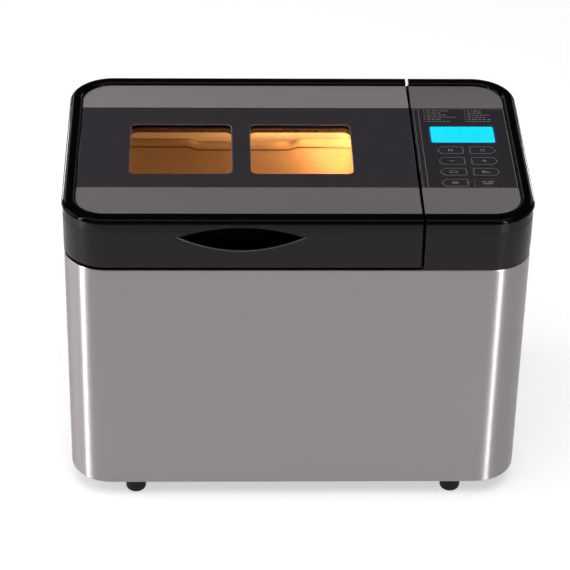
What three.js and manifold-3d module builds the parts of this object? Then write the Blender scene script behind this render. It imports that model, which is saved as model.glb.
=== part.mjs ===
// A two-paddle bread machine: steel-wrapped body, hinged lid with two windows, control panel,
// lift-out bread pan, heated chamber and the belt drive that turns the kneading paddles.
// Millimetres, +Z up, +Y towards the back, origin on the table under the middle of the machine.
import * as THREE from "three";
import { mergeVertices } from "three/addons/utils/BufferGeometryUtils.js";
import Module from "manifold-3d";

const wasm = await Module();
wasm.setup();

// ---------------------------------------------------------------- driving dimensions
const WIDTH = 380; // over the rim
const DEPTH = 230;
const HEIGHT = 278; // table to the top of the rim
const CORNER = 36; // plan radius of the rim's outer corners
const GAP = 0.3; // between neighbouring pieces
const WALL = 2.5; // moulded walls
const SHEET = 0.8; // sheet metal
const ARC_STEPS = 4; // flats in a quarter turn

const FOOT_HEIGHT = 14;
const FOOT_RADIUS = 8.75;
const FOOT_X = 134;
const FOOT_Y = 103;

const SKIN_INSET = 0.8; // wrap and skirts stand this far inside the rim
const WRAP_TOP = 230;
const SKIRT_BOTTOM = 232.8;
const SKIRT_LINE = 264.8; // the skirt leans inwards above this line
const SKIRT_TOP = 274;
const SKIRT_LEAN = 1.2;
const RIM_WIDTH = 11;
const RIM_ROUND = 3;
const PLATE_Z = [SKIRT_TOP + GAP, 275.5]; // trim plates, window panel and overlay
const TOP_PLATE_UNDER = 271;

const LID_RIGHT = 97.8;
const CONTROL_LEFT = 100.2;
const BAND_Y = [-61, 66.6]; // the dark band between the steel trims

const WINDOW_CENTRES = [-95.15, 4.35];
const WINDOW_SIZE = [84.3, 79.2];
const WINDOW_Y = -0.8;
const WINDOW_ROUND = 5;

const CORD = { x: 138, z: 40 };
const GRIP = { x: -46.3, half: 51.2, tip: 261.5, top: 270.2, bottom: 248.7, deep: 20 };

const HINGE = { y: 106, z: 241, pin: 2.2, bore: 2.5, barrel: 5, turn: 8.2 };
const HINGE_X = [-136, 44];

const LINER = { x: [-172, 80], y: 78, bottom: 233, roof: 263, sheet: 1, round: 12 };
const INNER_GLASS_Z = [LINER.roof + GAP, 266.3];

const CHAMBER = { x: [-176.6, 85.4], y: 83, floor: 54, top: 229.9, round: 14 };
const PAN = { x: -45.6, half: [113, 60], bottom: 72, top: 245, wall: 1.5, round: 22 };
const PAN_LIP = 3.5;
const PADDLE_OFFSET = 52; // each paddle shaft from the pan's middle
const SHAFT_RADIUS = 4;
const SHAFT_BORE = 4.35;
const BAIL = { z: 218, half: 122, reach: 74, rod: 2 };

const DRIVE_PLATE_Z = [44, 46];
const BIG_PULLEY = 42;
const LINK_PULLEY = 18;
const MOTOR_PULLEY = 8;
const MOTOR_X = 143;
const DRIVE_BELT_Z = [21, 27.6];
const LINK_BELT_Z = [30.4, 37];
const BELT = 2.2;

const KEY = { size: [22.6, 12.8], columns: [128, 154.65], first: -3.1, pitch: 17, rows: 4 };
const DISPLAY = { x: [112.3, 167.7], y: [8.2, 37] };

const SHAFT_X = [PAN.x - PADDLE_OFFSET, PAN.x + PADDLE_OFFSET];

// ---------------------------------------------------------------- materials
const finish = (color, roughness, metalness) =>
  new THREE.MeshStandardMaterial({ color, roughness, metalness });
const BRUSHED_STEEL = finish(0x9b9493, 0.35, 1);
const DARK_PLASTIC = finish(0x302d31, 0.4, 0);
const GLOSS_BLACK = finish(0x080808, 0.12, 0);
const SMOKED_PANEL = finish(0x37343a, 0.25, 0);
const CLEAR_GLASS = finish(0xc8a070, 0.05, 0);
const LINER_METAL = finish(0xb4b6b8, 0.45, 1);
const NON_STICK = finish(0xbdb1a5, 0.5, 0);
const ELEMENT_STEEL = finish(0x55504c, 0.5, 1);
const ZINC_STEEL = finish(0x9a9da0, 0.5, 1);
const RUBBER = finish(0x201d1f, 0.85, 0);
const BRONZE = finish(0x9c7440, 0.4, 1);
const DISPLAY_BLUE = finish(0x02e4fc, 0.3, 0);
const BOARD_GREEN = finish(0x2f5b3a, 0.6, 0);
const BULB_GLASS = finish(0xffd9a0, 0.1, 0);
const PULLEY_PLASTIC = finish(0xd8d4c8, 0.5, 0);

// ---------------------------------------------------------------- solids
// A closed three.js geometry as a solid.
function solid(geometry) {
  const bare = geometry.clone();
  bare.deleteAttribute("normal");
  bare.deleteAttribute("uv");
  const merged = mergeVertices(bare, 1e-4);
  const vertProperties = new Float32Array(merged.attributes.position.array);
  const triVerts = new Uint32Array(merged.index.array);
  return new wasm.Manifold(new wasm.Mesh({ numProp: 3, vertProperties, triVerts }));
}

function geometryOf(piece) {
  const { numProp, numVert, vertProperties, triVerts } = piece.getMesh();
  const points = new Float32Array(numVert * 3);
  for (let i = 0; i < numVert; i++) {
    points.set(vertProperties.subarray(i * numProp, i * numProp + 3), i * 3);
  }
  const geometry = new THREE.BufferGeometry();
  geometry.setAttribute("position", new THREE.BufferAttribute(points, 3));
  geometry.setIndex(new THREE.BufferAttribute(triVerts, 1));
  const flat = geometry.toNonIndexed();
  flat.computeVertexNormals();
  return flat;
}

const join = (first, ...rest) => rest.reduce((sum, piece) => sum.add(piece), first);
const cut = (first, ...rest) => rest.reduce((left, piece) => left.subtract(piece), first);

function box(x, y, z) {
  const geometry = new THREE.BoxGeometry(x[1] - x[0], y[1] - y[0], z[1] - z[0]);
  geometry.translate((x[0] + x[1]) / 2, (y[0] + y[1]) / 2, (z[0] + z[1]) / 2);
  return solid(geometry);
}

function prism(shape, z) {
  const geometry = new THREE.ExtrudeGeometry(shape, { depth: z[1] - z[0], bevelEnabled: false });
  return solid(geometry.translate(0, 0, z[0]));
}

// An extrusion with both ends bevelled; z is its full height and size its widening at mid height.
function bevelledPrism(shape, z, thickness, size, bevelSegments) {
  const geometry = new THREE.ExtrudeGeometry(shape, {
    depth: z[1] - z[0] - 2 * thickness,
    bevelEnabled: true,
    bevelThickness: thickness,
    bevelSize: size,
    bevelSegments,
  });
  return solid(geometry.translate(0, 0, z[0] + thickness));
}

// A closed solid through convex outlines with equal point counts, given as [outline, z] upwards.
function loft(levels) {
  const rings = levels.map(([shape]) => shape.getPoints());
  const count = rings[0].length;
  const corners = rings.flatMap((ring, i) => ring.flatMap((p) => [p.x, p.y, levels[i][1]]));
  const faces = [];
  const top = (rings.length - 1) * count;
  for (let k = 0; k < count; k++) {
    const next = (k + 1) % count;
    for (let base = 0; base < top; base += count) {
      const [a, b] = [base + k, base + next];
      faces.push(a, b, b + count, a, b + count, a + count);
    }
    if (k > 0 && next > 0) faces.push(0, next, k, top, top + k, top + next);
  }
  const geometry = new THREE.BufferGeometry();
  geometry.setAttribute("position", new THREE.Float32BufferAttribute(corners, 3));
  geometry.setIndex(faces);
  return solid(geometry);
}

// A cylinder along axis "x", "y" or "z" from span[0] to span[1], centred on the other two places.
function rod(axis, centre, span, radius, sides = 16) {
  const geometry = new THREE.CylinderGeometry(radius, radius, span[1] - span[0], sides);
  const middle = (span[0] + span[1]) / 2;
  if (axis === "x") geometry.rotateZ(Math.PI / 2).translate(middle, centre[0], centre[1]);
  if (axis === "y") geometry.translate(centre[0], middle, centre[1]);
  if (axis === "z") geometry.rotateX(Math.PI / 2).translate(centre[0], centre[1], middle);
  return solid(geometry);
}

// A turned piece about a vertical axis at (x, y); the profile is [radius, z] pairs from axis to axis.
function turned(profile, x, y, sides = 16) {
  const points = profile.map(([r, z]) => new THREE.Vector2(r, z));
  const geometry = new THREE.LatheGeometry(points, sides).rotateX(Math.PI / 2);
  return solid(geometry.translate(x, y, 0));
}

const isRight = (corner) => corner === 0 || corner === 3;

// A rectangle with rounded corners, counter-clockwise from the +X +Y corner; a radius may be 0.
function roundedRect(x, y, radii) {
  const r = Array.isArray(radii) ? radii : [radii, radii, radii, radii];
  const points = [];
  for (let corner = 0; corner < 4; corner++) {
    const left = !isRight(corner);
    const low = corner > 1;
    const cx = left ? x[0] + r[corner] : x[1] - r[corner];
    const cy = low ? y[0] + r[corner] : y[1] - r[corner];
    const steps = r[corner] > 0 ? ARC_STEPS : 0;
    for (let i = 0; i <= steps; i++) {
      const angle = ((corner + (steps ? i / steps : 0)) * Math.PI) / 2;
      points.push(
        new THREE.Vector2(cx + r[corner] * Math.cos(angle), cy + r[corner] * Math.sin(angle)),
      );
    }
  }
  return new THREE.Shape(points);
}

// The machine's plan outline, drawn in by inset.
const outline = (inset) =>
  roundedRect(
    [-WIDTH / 2 + inset, WIDTH / 2 - inset],
    [-DEPTH / 2 + inset, DEPTH / 2 - inset],
    CORNER - inset,
  );

// A slot with two half-round ends along X, half long and radius wide each way.
function stadium(x, half, radius) {
  const points = [];
  for (const side of [1, -1]) {
    for (let i = 0; i <= 2 * ARC_STEPS; i++) {
      const angle = (i / (2 * ARC_STEPS) - 0.5) * Math.PI + (side < 0 ? Math.PI : 0);
      points.push(
        new THREE.Vector2(x + side * half + radius * Math.cos(angle), radius * Math.sin(angle)),
      );
    }
  }
  return new THREE.Shape(points);
}

// ---------------------------------------------------------------- assembly
const machine = new THREE.Group();
function add(name, piece, material) {
  const mesh = new THREE.Mesh(geometryOf(piece), material);
  mesh.name = name;
  machine.add(mesh);
}

const EVERYWHERE = [-400, 400];
const LID_SPAN = [-400, LID_RIGHT];
const CONTROL_SPAN = [CONTROL_LEFT, 400];

// ---- body
function bodyWrap() {
  const z = [FOOT_HEIGHT, WRAP_TOP];
  let wrap = prism(outline(SKIN_INSET), z);
  wrap = cut(wrap, prism(outline(SKIN_INSET + SHEET), [z[0] - 1, z[1] + 1]));
  const slotPitch = 8;
  for (const z0 of [120, 160]) {
    for (let i = 0; i < 8; i++) {
      const x = 112 + i * slotPitch;
      wrap = cut(wrap, box([x, x + 3.2], [105, 120], [z0, z0 + 26]));
    }
  }
  return cut(wrap, rod("y", [CORD.x, CORD.z], [105, 120], 9));
}

function baseTray() {
  const floor = [FOOT_HEIGHT + 0.2, 17];
  let tray = prism(outline(2), [floor[0], 26]);
  tray = cut(tray, prism(outline(4), [floor[1], 30]));
  for (const x of [-150, 60, 172]) {
    for (const y of [-70, 70]) {
      tray = join(tray, rod("z", [x, y], [16, DRIVE_PLATE_Z[0] - GAP], 5.5, 12));
    }
  }
  for (let i = 0; i < 8; i++) {
    const x = 95 + i * 9;
    tray = cut(tray, box([x, x + 4], [-28, 28], [10, 20]));
  }
  for (const x of [-FOOT_X, FOOT_X]) {
    for (const y of [-FOOT_Y, FOOT_Y]) {
      tray = cut(tray, rod("z", [x, y], [10, 20], 3.4, 12));
    }
  }
  return tray;
}

function foot(x, y) {
  const shoulder = FOOT_HEIGHT - 0.1;
  const profile = [[0, 0], [5.4, 0]];
  const round = FOOT_RADIUS - 5.4;
  for (let i = 1; i <= 3; i++) {
    const a = (i / 3) * (Math.PI / 2);
    profile.push([5.4 + round * Math.sin(a), round * (1 - Math.cos(a))]);
  }
  profile.push([FOOT_RADIUS, shoulder], [3, shoulder], [3, 18], [0, 18]);
  return turned(profile, x, y, 14);
}

function deckFrame() {
  const flange = [WRAP_TOP + GAP, 232.4];
  const mouthX = [CHAMBER.x[0] + 2, CHAMBER.x[1] - 2];
  const mouthY = [-CHAMBER.y + 2, CHAMBER.y - 2];
  const lip = 2;
  let deck = prism(outline(1.2), flange);
  deck = deck.intersect(box([-400, 110], EVERYWHERE, [0, 300]));
  const locator = cut(prism(outline(2), [218, flange[0]]), prism(outline(4), [210, 240]));
  deck = join(deck, locator.intersect(box([-400, 88], EVERYWHERE, [0, 300])));
  const ridge = roundedRect(
    [mouthX[0] - lip, mouthX[1] + lip],
    [mouthY[0] - lip, mouthY[1] + lip],
    CHAMBER.round,
  );
  deck = join(deck, prism(ridge, [flange[0], 235]));
  deck = cut(deck, prism(roundedRect(mouthX, mouthY, CHAMBER.round - lip), [200, 250]));
  for (const x of HINGE_X) {
    const lug = join(
      box([x - 4, x + 4], [HINGE.y - HINGE.barrel, HINGE.y + HINGE.barrel], [flange[0], HINGE.z]),
      rod("x", [HINGE.y, HINGE.z], [x - 4, x + 4], HINGE.barrel),
    );
    deck = cut(join(deck, lug), rod("x", [HINGE.y, HINGE.z], [x - 9, x + 9], HINGE.bore));
  }
  return deck;
}

// ---- lid and control housing
// The moulded skirt and top plate of the lid or the control housing over an X span.
function hood(span, bottom) {
  const whole = loft([
    [outline(SKIN_INSET), bottom],
    [outline(SKIN_INSET), SKIRT_LINE],
    [outline(SKIN_INSET + SKIRT_LEAN), SKIRT_TOP],
  ]);
  const inner = [span[0] + WALL, span[1] - WALL];
  const hollow = prism(outline(SKIN_INSET + WALL), [200, TOP_PLATE_UNDER]).intersect(
    box(inner, EVERYWHERE, [0, 300]),
  );
  return cut(whole.intersect(box(span, EVERYWHERE, [0, 300])), hollow);
}

// The finger grip's lens outline in X and Z: two arcs through the tips, drawn in by inset.
function gripShape(inset) {
  const points = [];
  const steps = 12;
  const half = GRIP.half - inset * 3;
  for (const [edge, direction] of [[GRIP.bottom + inset, 1], [GRIP.top - inset, -1]]) {
    for (let i = 0; i < steps; i++) {
      const t = direction * ((2 * i) / steps - 1);
      points.push(new THREE.Vector2(GRIP.x + half * t, GRIP.tip + (edge - GRIP.tip) * (1 - t * t)));
    }
  }
  return new THREE.Shape(points);
}

// A prism of a shape drawn in X and Z, running along Y.
function prismAlongY(shape, y) {
  const depth = y[1] - y[0];
  const geometry = new THREE.ExtrudeGeometry(shape, { depth, bevelEnabled: false });
  return solid(geometry.rotateX(Math.PI / 2).translate(0, y[1], 0));
}

function lidShell() {
  let shell = hood(LID_SPAN, SKIRT_BOTTOM);
  const under = SKIRT_TOP - 1.9;
  for (const x of WINDOW_CENTRES) {
    const half = [WINDOW_SIZE[0] / 2 + 2.5, WINDOW_SIZE[1] / 2 + 2.5];
    shell = cut(
      shell,
      box([x - half[0], x + half[0]], [WINDOW_Y - half[1], WINDOW_Y + half[1]], [250, 280]),
    );
  }
  shell = cut(shell, box([-146.2, 55.4], [-48.2, 44.5], [under, 280]));
  for (const x of [-162, 70]) {
    for (const y of [-70, 70]) shell = join(shell, rod("z", [x, y], [LINER.roof + GAP, 272], 4, 10));
  }
  for (const x of HINGE_X) {
    for (const side of [-7, 7]) {
      const rib = box([x + side - 2, x + side + 2], [101, 112.5], [236, 272]);
      shell = join(shell, rib);
    }
    shell = cut(
      shell,
      rod("x", [HINGE.y, HINGE.z], [x - 12, x + 12], HINGE.bore),
      box([x - 4.8, x + 4.8], [100, 120], [225, HINGE.z + 6]),
    );
  }
  const heel = cut(
    box(EVERYWHERE, [HINGE.y, 120], [220, HINGE.z]),
    rod("x", [HINGE.y, HINGE.z], [-300, 300], HINGE.turn, 32),
  );
  return cut(shell, heel, prismAlongY(gripShape(0), [-118, -110]));
}

function handleCup() {
  const front = -DEPTH / 2 + SKIN_INSET + WALL + GAP;
  const outer = prismAlongY(gripShape(-1.6), [front, front + GRIP.deep]);
  const pocket = prismAlongY(gripShape(0.4), [front - 1, front + GRIP.deep - 1.5]);
  return cut(outer, pocket).intersect(box(EVERYWHERE, EVERYWHERE, [240, TOP_PLATE_UNDER - GAP]));
}

// The rounded bead that frames the top, over an X span.
function rim(span) {
  const shape = outline(RIM_ROUND);
  shape.holes.push(outline(RIM_WIDTH - RIM_ROUND));
  const ring = bevelledPrism(shape, [HEIGHT - 12, HEIGHT], RIM_ROUND, RIM_ROUND, 2);
  return ring.intersect(box(span, EVERYWHERE, [SKIRT_TOP + GAP, 300]));
}

// A flat plate inside the rim over an X and a Y span.
function facePlate(span, y) {
  return prism(outline(RIM_WIDTH + GAP), PLATE_Z).intersect(box(span, y, [0, 300]));
}

function windowPanel() {
  let panel = facePlate(LID_SPAN, [BAND_Y[0] + GAP / 2, BAND_Y[1] - GAP / 2]);
  for (const x of WINDOW_CENTRES) {
    const opening = roundedRect(
      [x - WINDOW_SIZE[0] / 2, x + WINDOW_SIZE[0] / 2],
      [WINDOW_Y - WINDOW_SIZE[1] / 2, WINDOW_Y + WINDOW_SIZE[1] / 2],
      WINDOW_ROUND,
    );
    panel = cut(panel, prism(opening, [260, 290]));
  }
  return panel;
}

function lidLiner() {
  const { x, y, bottom, roof, sheet, round } = LINER;
  let liner = cut(
    prism(roundedRect(x, [-y, y], round), [bottom, roof]),
    prism(roundedRect([x[0] + sheet, x[1] - sheet], [sheet - y, y - sheet], round - sheet), [
      bottom - 1,
      roof - sheet,
    ]),
    prism(roundedRect([-139, 49], [-44, 47], 6), [roof - 5, roof + 5]),
  );
  for (let i = 0; i < 7; i++) {
    const x0 = -130 + i * 26;
    liner = cut(liner, box([x0, x0 + 16], [58, 61.5], [roof - 5, roof + 5]));
  }
  return liner;
}

function controlHousing() {
  const seat = box([90, 110.4], EVERYWHERE, [200, 232.7]);
  const window = box([110, 171], [-63, 38.5], [265, 280]);
  return cut(hood(CONTROL_SPAN, WRAP_TOP + GAP), seat, window);
}

// A key's outline: one end round and one end square, grown by grow.
function keyShape(column, row, grow) {
  const x = KEY.columns[column];
  const y = KEY.first - row * KEY.pitch;
  const w = KEY.size[0] / 2 + grow;
  const h = KEY.size[1] / 2 + grow;
  const end = h - 0.2;
  const radii = column === 0 ? [1, end, end, 1] : [end, 1, 1, end];
  return roundedRect([x - w, x + w], [y - h, y + h], radii);
}

function controlOverlay() {
  let overlay = facePlate(CONTROL_SPAN, [BAND_Y[0] + GAP / 2, BAND_Y[1] - GAP / 2]);
  overlay = cut(overlay, prism(roundedRect(DISPLAY.x, DISPLAY.y, 2), [260, 290]));
  for (let row = 0; row < KEY.rows; row++) {
    for (const column of [0, 1]) overlay = cut(overlay, prism(keyShape(column, row, 0), [260, 290]));
  }
  return overlay;
}

function key(column, row) {
  const x = KEY.columns[column];
  const y = KEY.first - row * KEY.pitch;
  return join(
    prism(keyShape(column, row, -0.35), [272.5, 275.7]),
    prism(keyShape(column, row, 0.9), [272.3, 273.6]),
    box([x - 3, x + 3], [y - 3, y + 3], [269.3, 273]),
  );
}

function display() {
  const front = roundedRect(
    [DISPLAY.x[0] + GAP, DISPLAY.x[1] - GAP],
    [DISPLAY.y[0] + GAP, DISPLAY.y[1] - GAP],
    2,
  );
  return join(prism(front, [270, 275.2]), box([111, 170], [6.8, 38], [266, 273.9]));
}

function controlBoard() {
  let board = box([108, 174], [-64, 44], [260, 261.6]);
  for (let row = 0; row < KEY.rows; row++) {
    for (const x of KEY.columns) {
      const y = KEY.first - row * KEY.pitch;
      board = join(board, box([x - 3, x + 3], [y - 3, y + 3], [261, 268.5]));
    }
  }
  return join(board, box([114, 166], [10, 34], [261, 265.7]), box([120, 150], [-58, -40], [256, 260.5]));
}

// ---- chamber and what is in it
function ovenChamber() {
  const { x, y, floor, top, round } = CHAMBER;
  let chamber = cut(
    prism(roundedRect([x[0] - SHEET, x[1] + SHEET], [-y - SHEET, y + SHEET], round), [floor, top]),
    prism(roundedRect(x, [-y, y], round - SHEET), [floor + SHEET, top + 5]),
  );
  for (const sx of SHAFT_X) chamber = cut(chamber, rod("z", [sx, 0], [40, 60], 9.5));
  for (const sy of [-12, 12]) chamber = cut(chamber, rod("x", [sy, 80], [80, 90], 4.4, 12));
  return cut(
    chamber,
    rod("x", [-45, 130], [80, 90], 4.4, 12),
    rod("x", [48, 214], [80, 90], 11, 20),
  );
}

// The tubular element: one loop round the pan with both ends out through the right wall.
function heatingElement() {
  const radius = 3.2;
  const [west, east] = [CHAMBER.x[0] + 9.5, CHAMBER.x[1] - 9.5];
  const south = -CHAMBER.y + 11;
  const z = 80;
  const bend = 12;
  const bends = 3;
  const at = (x, y) => new THREE.Vector3(x, y, z);
  const stops = [
    at(100, -12),
    at(east, -12),
    at(east, south),
    at(west, south),
    at(west, -south),
    at(east, -south),
    at(east, 12),
    at(100, 12),
  ];
  const points = [stops[0]];
  for (let i = 1; i < stops.length - 1; i++) {
    const into = stops[i].clone().sub(stops[i - 1]).setLength(bend);
    const out = stops[i + 1].clone().sub(stops[i]).setLength(bend);
    const start = stops[i].clone().sub(into);
    const end = stops[i].clone().add(out);
    points.push(...new THREE.QuadraticBezierCurve3(start, stops[i], end).getPoints(bends));
  }
  points.push(stops.at(-1));
  return sweep(points, radius, 8);
}

// A round bar along a polyline in space, mitred at each point.
function sweep(points, radius, sides) {
  const up = new THREE.Vector3(0, 0, 1);
  const rings = points.map((point, i) => {
    const before = points[Math.max(i - 1, 0)];
    const after = points[Math.min(i + 1, points.length - 1)];
    const into = (i ? point.clone().sub(before) : after.clone().sub(point)).normalize();
    const out = (i < points.length - 1 ? after.clone().sub(point) : into.clone()).normalize();
    const along = into.clone().add(out).normalize();
    const side = new THREE.Vector3().crossVectors(along, up).normalize();
    const lift = new THREE.Vector3().crossVectors(side, along).normalize();
    const stretch = 1 / Math.max(along.dot(into), 0.5);
    return Array.from({ length: sides }, (_, k) => {
      const angle = (k / sides) * 2 * Math.PI;
      return point
        .clone()
        .addScaledVector(side, radius * stretch * Math.cos(angle))
        .addScaledVector(lift, radius * Math.sin(angle));
    });
  });
  const corners = rings.flat().flatMap((p) => [p.x, p.y, p.z]);
  const faces = [];
  for (let i = 0; i < rings.length - 1; i++) {
    for (let k = 0; k < sides; k++) {
      const [a, b] = [i * sides + k, i * sides + ((k + 1) % sides)];
      faces.push(a, b, b + sides, a, b + sides, a + sides);
    }
  }
  const last = (rings.length - 1) * sides;
  for (let k = 1; k < sides - 1; k++) {
    faces.push(0, k + 1, k, last, last + k, last + k + 1);
  }
  const geometry = new THREE.BufferGeometry();
  geometry.setAttribute("position", new THREE.Float32BufferAttribute(corners, 3));
  geometry.setIndex(faces);
  const made = solid(geometry);
  return made.volume() < 0 ? solid(geometry.setIndex(faces.reverse())) : made;
}

function temperatureSensor() {
  return join(
    rod("x", [-45, 130], [70, 96], 3, 12),
    rod("x", [-45, 130], [86.5, 89], 7, 12),
  );
}

function lampGlass() {
  const lens = join(
    rod("x", [48, 214], [83.6, 86.6], 10.6, 20),
    rod("x", [48, 214], [86.5, 88], 13.5, 20),
  );
  return cut(lens, rod("x", [48, 214], [84.8, 92], 9, 20));
}

function lampBulb() {
  return join(
    rod("x", [48, 214], [88.3, 100], 6.5, 14),
    rod("x", [48, 214], [100, 112], 8, 14),
  );
}

function panMount() {
  const half = PADDLE_OFFSET;
  let mount = cut(
    prism(stadium(PAN.x, half, 30), [CHAMBER.floor + SHEET + GAP, 63]),
    prism(stadium(PAN.x, half, 27.5), [56.4, 70]),
  );
  for (const x of SHAFT_X) mount = cut(mount, rod("z", [x, 0], [50, 60], 17.5, 20));
  return mount;
}

function panBase() {
  const ring = prism(stadium(PAN.x, PADDLE_OFFSET, 27), [57, PAN.bottom - GAP]);
  return cut(ring, prism(stadium(PAN.x, PADDLE_OFFSET, 24.8), [50, 80]));
}

function breadPan() {
  const { x, half, bottom, top, wall, round } = PAN;
  const block = (inset, z0) =>
    bevelledPrism(
      roundedRect(
        [x - half[0] + inset + 7, x + half[0] - inset - 7],
        [-half[1] + inset + 7, half[1] - inset - 7],
        round - inset - 7,
      ),
      [z0, top + 10],
      7,
      7,
      2,
    );
  const lipOutline = roundedRect(
    [x - half[0] - PAN_LIP, x + half[0] + PAN_LIP],
    [-half[1] - PAN_LIP, half[1] + PAN_LIP],
    round + PAN_LIP,
  );
  const inside = block(wall, bottom + wall);
  let pan = join(
    block(0, bottom).intersect(box(EVERYWHERE, EVERYWHERE, [0, top])),
    prism(lipOutline, [top - wall, top]),
  );
  for (const side of [-1, 1]) {
    const ear = [x + side * (half[0] - 0.5), x + side * (half[0] + 3.5)].sort((a, b) => a - b);
    pan = join(pan, box(ear, [-9, 9], [BAIL.z - 9, BAIL.z + 9]));
  }
  pan = cut(pan, inside);
  for (const sx of SHAFT_X) pan = join(pan, rod("z", [sx, 0], [66.6, 80], 9));
  for (const sx of SHAFT_X) pan = cut(pan, rod("z", [sx, 0], [60, 90], SHAFT_BORE));
  for (const side of [-1, 1]) {
    const bore = [x + side * (half[0] + 0.2), x + side * (half[0] + 9)].sort((a, b) => a - b);
    pan = cut(pan, rod("x", [0, BAIL.z], bore, BAIL.rod + 0.4, 12));
  }
  return pan;
}

function panHandle() {
  const { z, half, reach } = BAIL;
  const stub = PAN.half[0] + 0.5;
  const bend = 14;
  const points = [[stub, 0], [half, 0]];
  const steps = 4;
  for (let i = 0; i <= steps; i++) {
    const a = (i / steps) * (Math.PI / 2);
    points.push([half - bend + bend * Math.cos(a), reach - bend + bend * Math.sin(a)]);
  }
  const mirrored = points.map(([px, py]) => [-px, py]).reverse();
  const route = [...points, ...mirrored].map(([px, py]) => new THREE.Vector3(PAN.x + px, py, z));
  return sweep(route, BAIL.rod, 10);
}

// A lug coupling at the top of each drive shaft catches the wings under the pan.
function driveShaft(x) {
  const lugs = [0, Math.PI].map((turn) => {
    const points = [];
    const spread = 0.4;
    for (const [radius, direction] of [[16, 1], [10, -1]]) {
      for (let i = 0; i <= 4; i++) {
        const a = turn + direction * spread * (i / 2 - 1);
        points.push(new THREE.Vector2(x + radius * Math.cos(a), radius * Math.sin(a)));
      }
    }
    return prism(new THREE.Shape(points), [59, 66]);
  });
  return join(
    rod("z", [x, 0], [19, 58], SHAFT_RADIUS),
    rod("z", [x, 0], [57.2, 60], 16, 24),
    ...lugs,
  );
}

function paddleShaft(x) {
  return join(
    rod("z", [x, 0], [60.6, 104], SHAFT_RADIUS),
    rod("z", [x, 0], [60.6, 65.6], 6.5),
    box([x - 3, x + 3], [-14, 14], [60.6, 65.6]),
  );
}

function paddle(x) {
  const blade = new THREE.Shape([
    new THREE.Vector2(5, 80.8),
    new THREE.Vector2(41, 80.8),
    new THREE.Vector2(42, 84),
    new THREE.Vector2(36, 97),
    new THREE.Vector2(24, 102),
    new THREE.Vector2(5, 104),
  ]);
  const fin = prismAlongY(blade, [-2, 2]).translate([x, 0, 0]);
  const hub = turned([[0, 80.8], [8.5, 80.8], [7.5, 105], [5.5, 107.5], [0, 107.5]], x, 0);
  return cut(join(hub, fin), rod("z", [x, 0], [70, 104.4], SHAFT_BORE));
}

// ---- drive
function drivePlate() {
  let plate = prism(roundedRect([-165, 182], [-78, 78], 10), DRIVE_PLATE_Z);
  for (const x of SHAFT_X) plate = cut(plate, rod("z", [x, 0], [40, 50], 9));
  return cut(
    plate,
    rod("z", [MOTOR_X, 0], [40, 50], 11),
    prism(roundedRect([-70, -20], [30, 62], 8), [40, 50]),
    prism(roundedRect([-70, -20], [-62, -30], 8), [40, 50]),
  );
}

function bearing(x) {
  const profile = [
    [SHAFT_BORE, 39],
    [8.5, 39],
    [8.5, 46.3],
    [18, 46.3],
    [18, 49],
    [8.5, 49],
    [8.5, 56.7],
    [SHAFT_BORE, 56.7],
    [SHAFT_BORE, 39],
  ];
  return turned(profile, x, 0, 20);
}

function drivenPulley(x) {
  let pulley = join(
    rod("z", [x, 0], [20.6, 28], BIG_PULLEY, 36),
    rod("z", [x, 0], [28, 37.6], LINK_PULLEY, 24),
  );
  for (let i = 0; i < 5; i++) {
    const a = (i / 5) * 2 * Math.PI;
    const centre = [x + 30 * Math.cos(a), 30 * Math.sin(a)];
    pulley = cut(pulley, rod("z", centre, [10, 40], 7, 12));
  }
  return cut(pulley, rod("z", [x, 0], [10, 40], SHAFT_BORE));
}

function linkPulley(x) {
  return cut(
    join(rod("z", [x, 0], [30, 37.6], LINK_PULLEY, 24), rod("z", [x, 0], [20.6, 30], 9)),
    rod("z", [x, 0], [10, 40], SHAFT_BORE),
  );
}

function motorPulley() {
  return join(
    rod("z", [MOTOR_X, 0], [20.6, 28], MOTOR_PULLEY, 20),
    rod("z", [MOTOR_X, 0], [28, 29.4], MOTOR_PULLEY + 2.4, 20),
    rod("z", [MOTOR_X, 0], [19, 58], 3, 12),
  );
}

// The outline of a belt's inner or outer side round two pulleys on the X axis.
function beltOutline(left, right, grow) {
  const lean = Math.asin((left.r - right.r) / (right.x - left.x));
  const points = [];
  const steps = 12;
  const arc = (pulley, from, to) => {
    for (let i = 0; i <= steps; i++) {
      const a = from + ((to - from) * i) / steps;
      const r = pulley.r + grow;
      points.push(new THREE.Vector2(pulley.x + r * Math.cos(a), r * Math.sin(a)));
    }
  };
  const quarter = Math.PI / 2;
  arc(right, -quarter + lean, quarter - lean);
  arc(left, quarter - lean, 3 * quarter + lean);
  return new THREE.Shape(points);
}

function belt(left, right, z) {
  const slack = 0.5;
  return cut(
    prism(beltOutline(left, right, slack + BELT), z),
    prism(beltOutline(left, right, slack), [z[0] - 1, z[1] + 1]),
  );
}

function motor() {
  const body = join(
    box([MOTOR_X - 37, MOTOR_X + 37], [-37, 37], [60, 84]),
    rod("z", [MOTOR_X, 0], [DRIVE_PLATE_Z[1] + GAP, 96], 31, 24),
  );
  return cut(body, rod("z", [MOTOR_X, 0], [40, 60], 3.6, 12));
}

function powerBoard() {
  return join(
    box([104, 180], [-74, -72.4], [60, 200]),
    box([112, 150], [-73, -48], [150, 185]),
    box([155, 172], [-73, -54], [120, 146]),
    box([112, 128], [-73, -56], [100, 128]),
    rod("y", [165, 172], [-73, -52], 8, 12),
  );
}

function cordGland() {
  const barrel = rod("y", [CORD.x, CORD.z], [103, 114.9], 8.6);
  const collar = rod("y", [CORD.x, CORD.z], [108, 113.1 - GAP], 12);
  return cut(join(barrel, collar), rod("y", [CORD.x, CORD.z], [100, 120], 3.8, 12));
}

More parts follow.
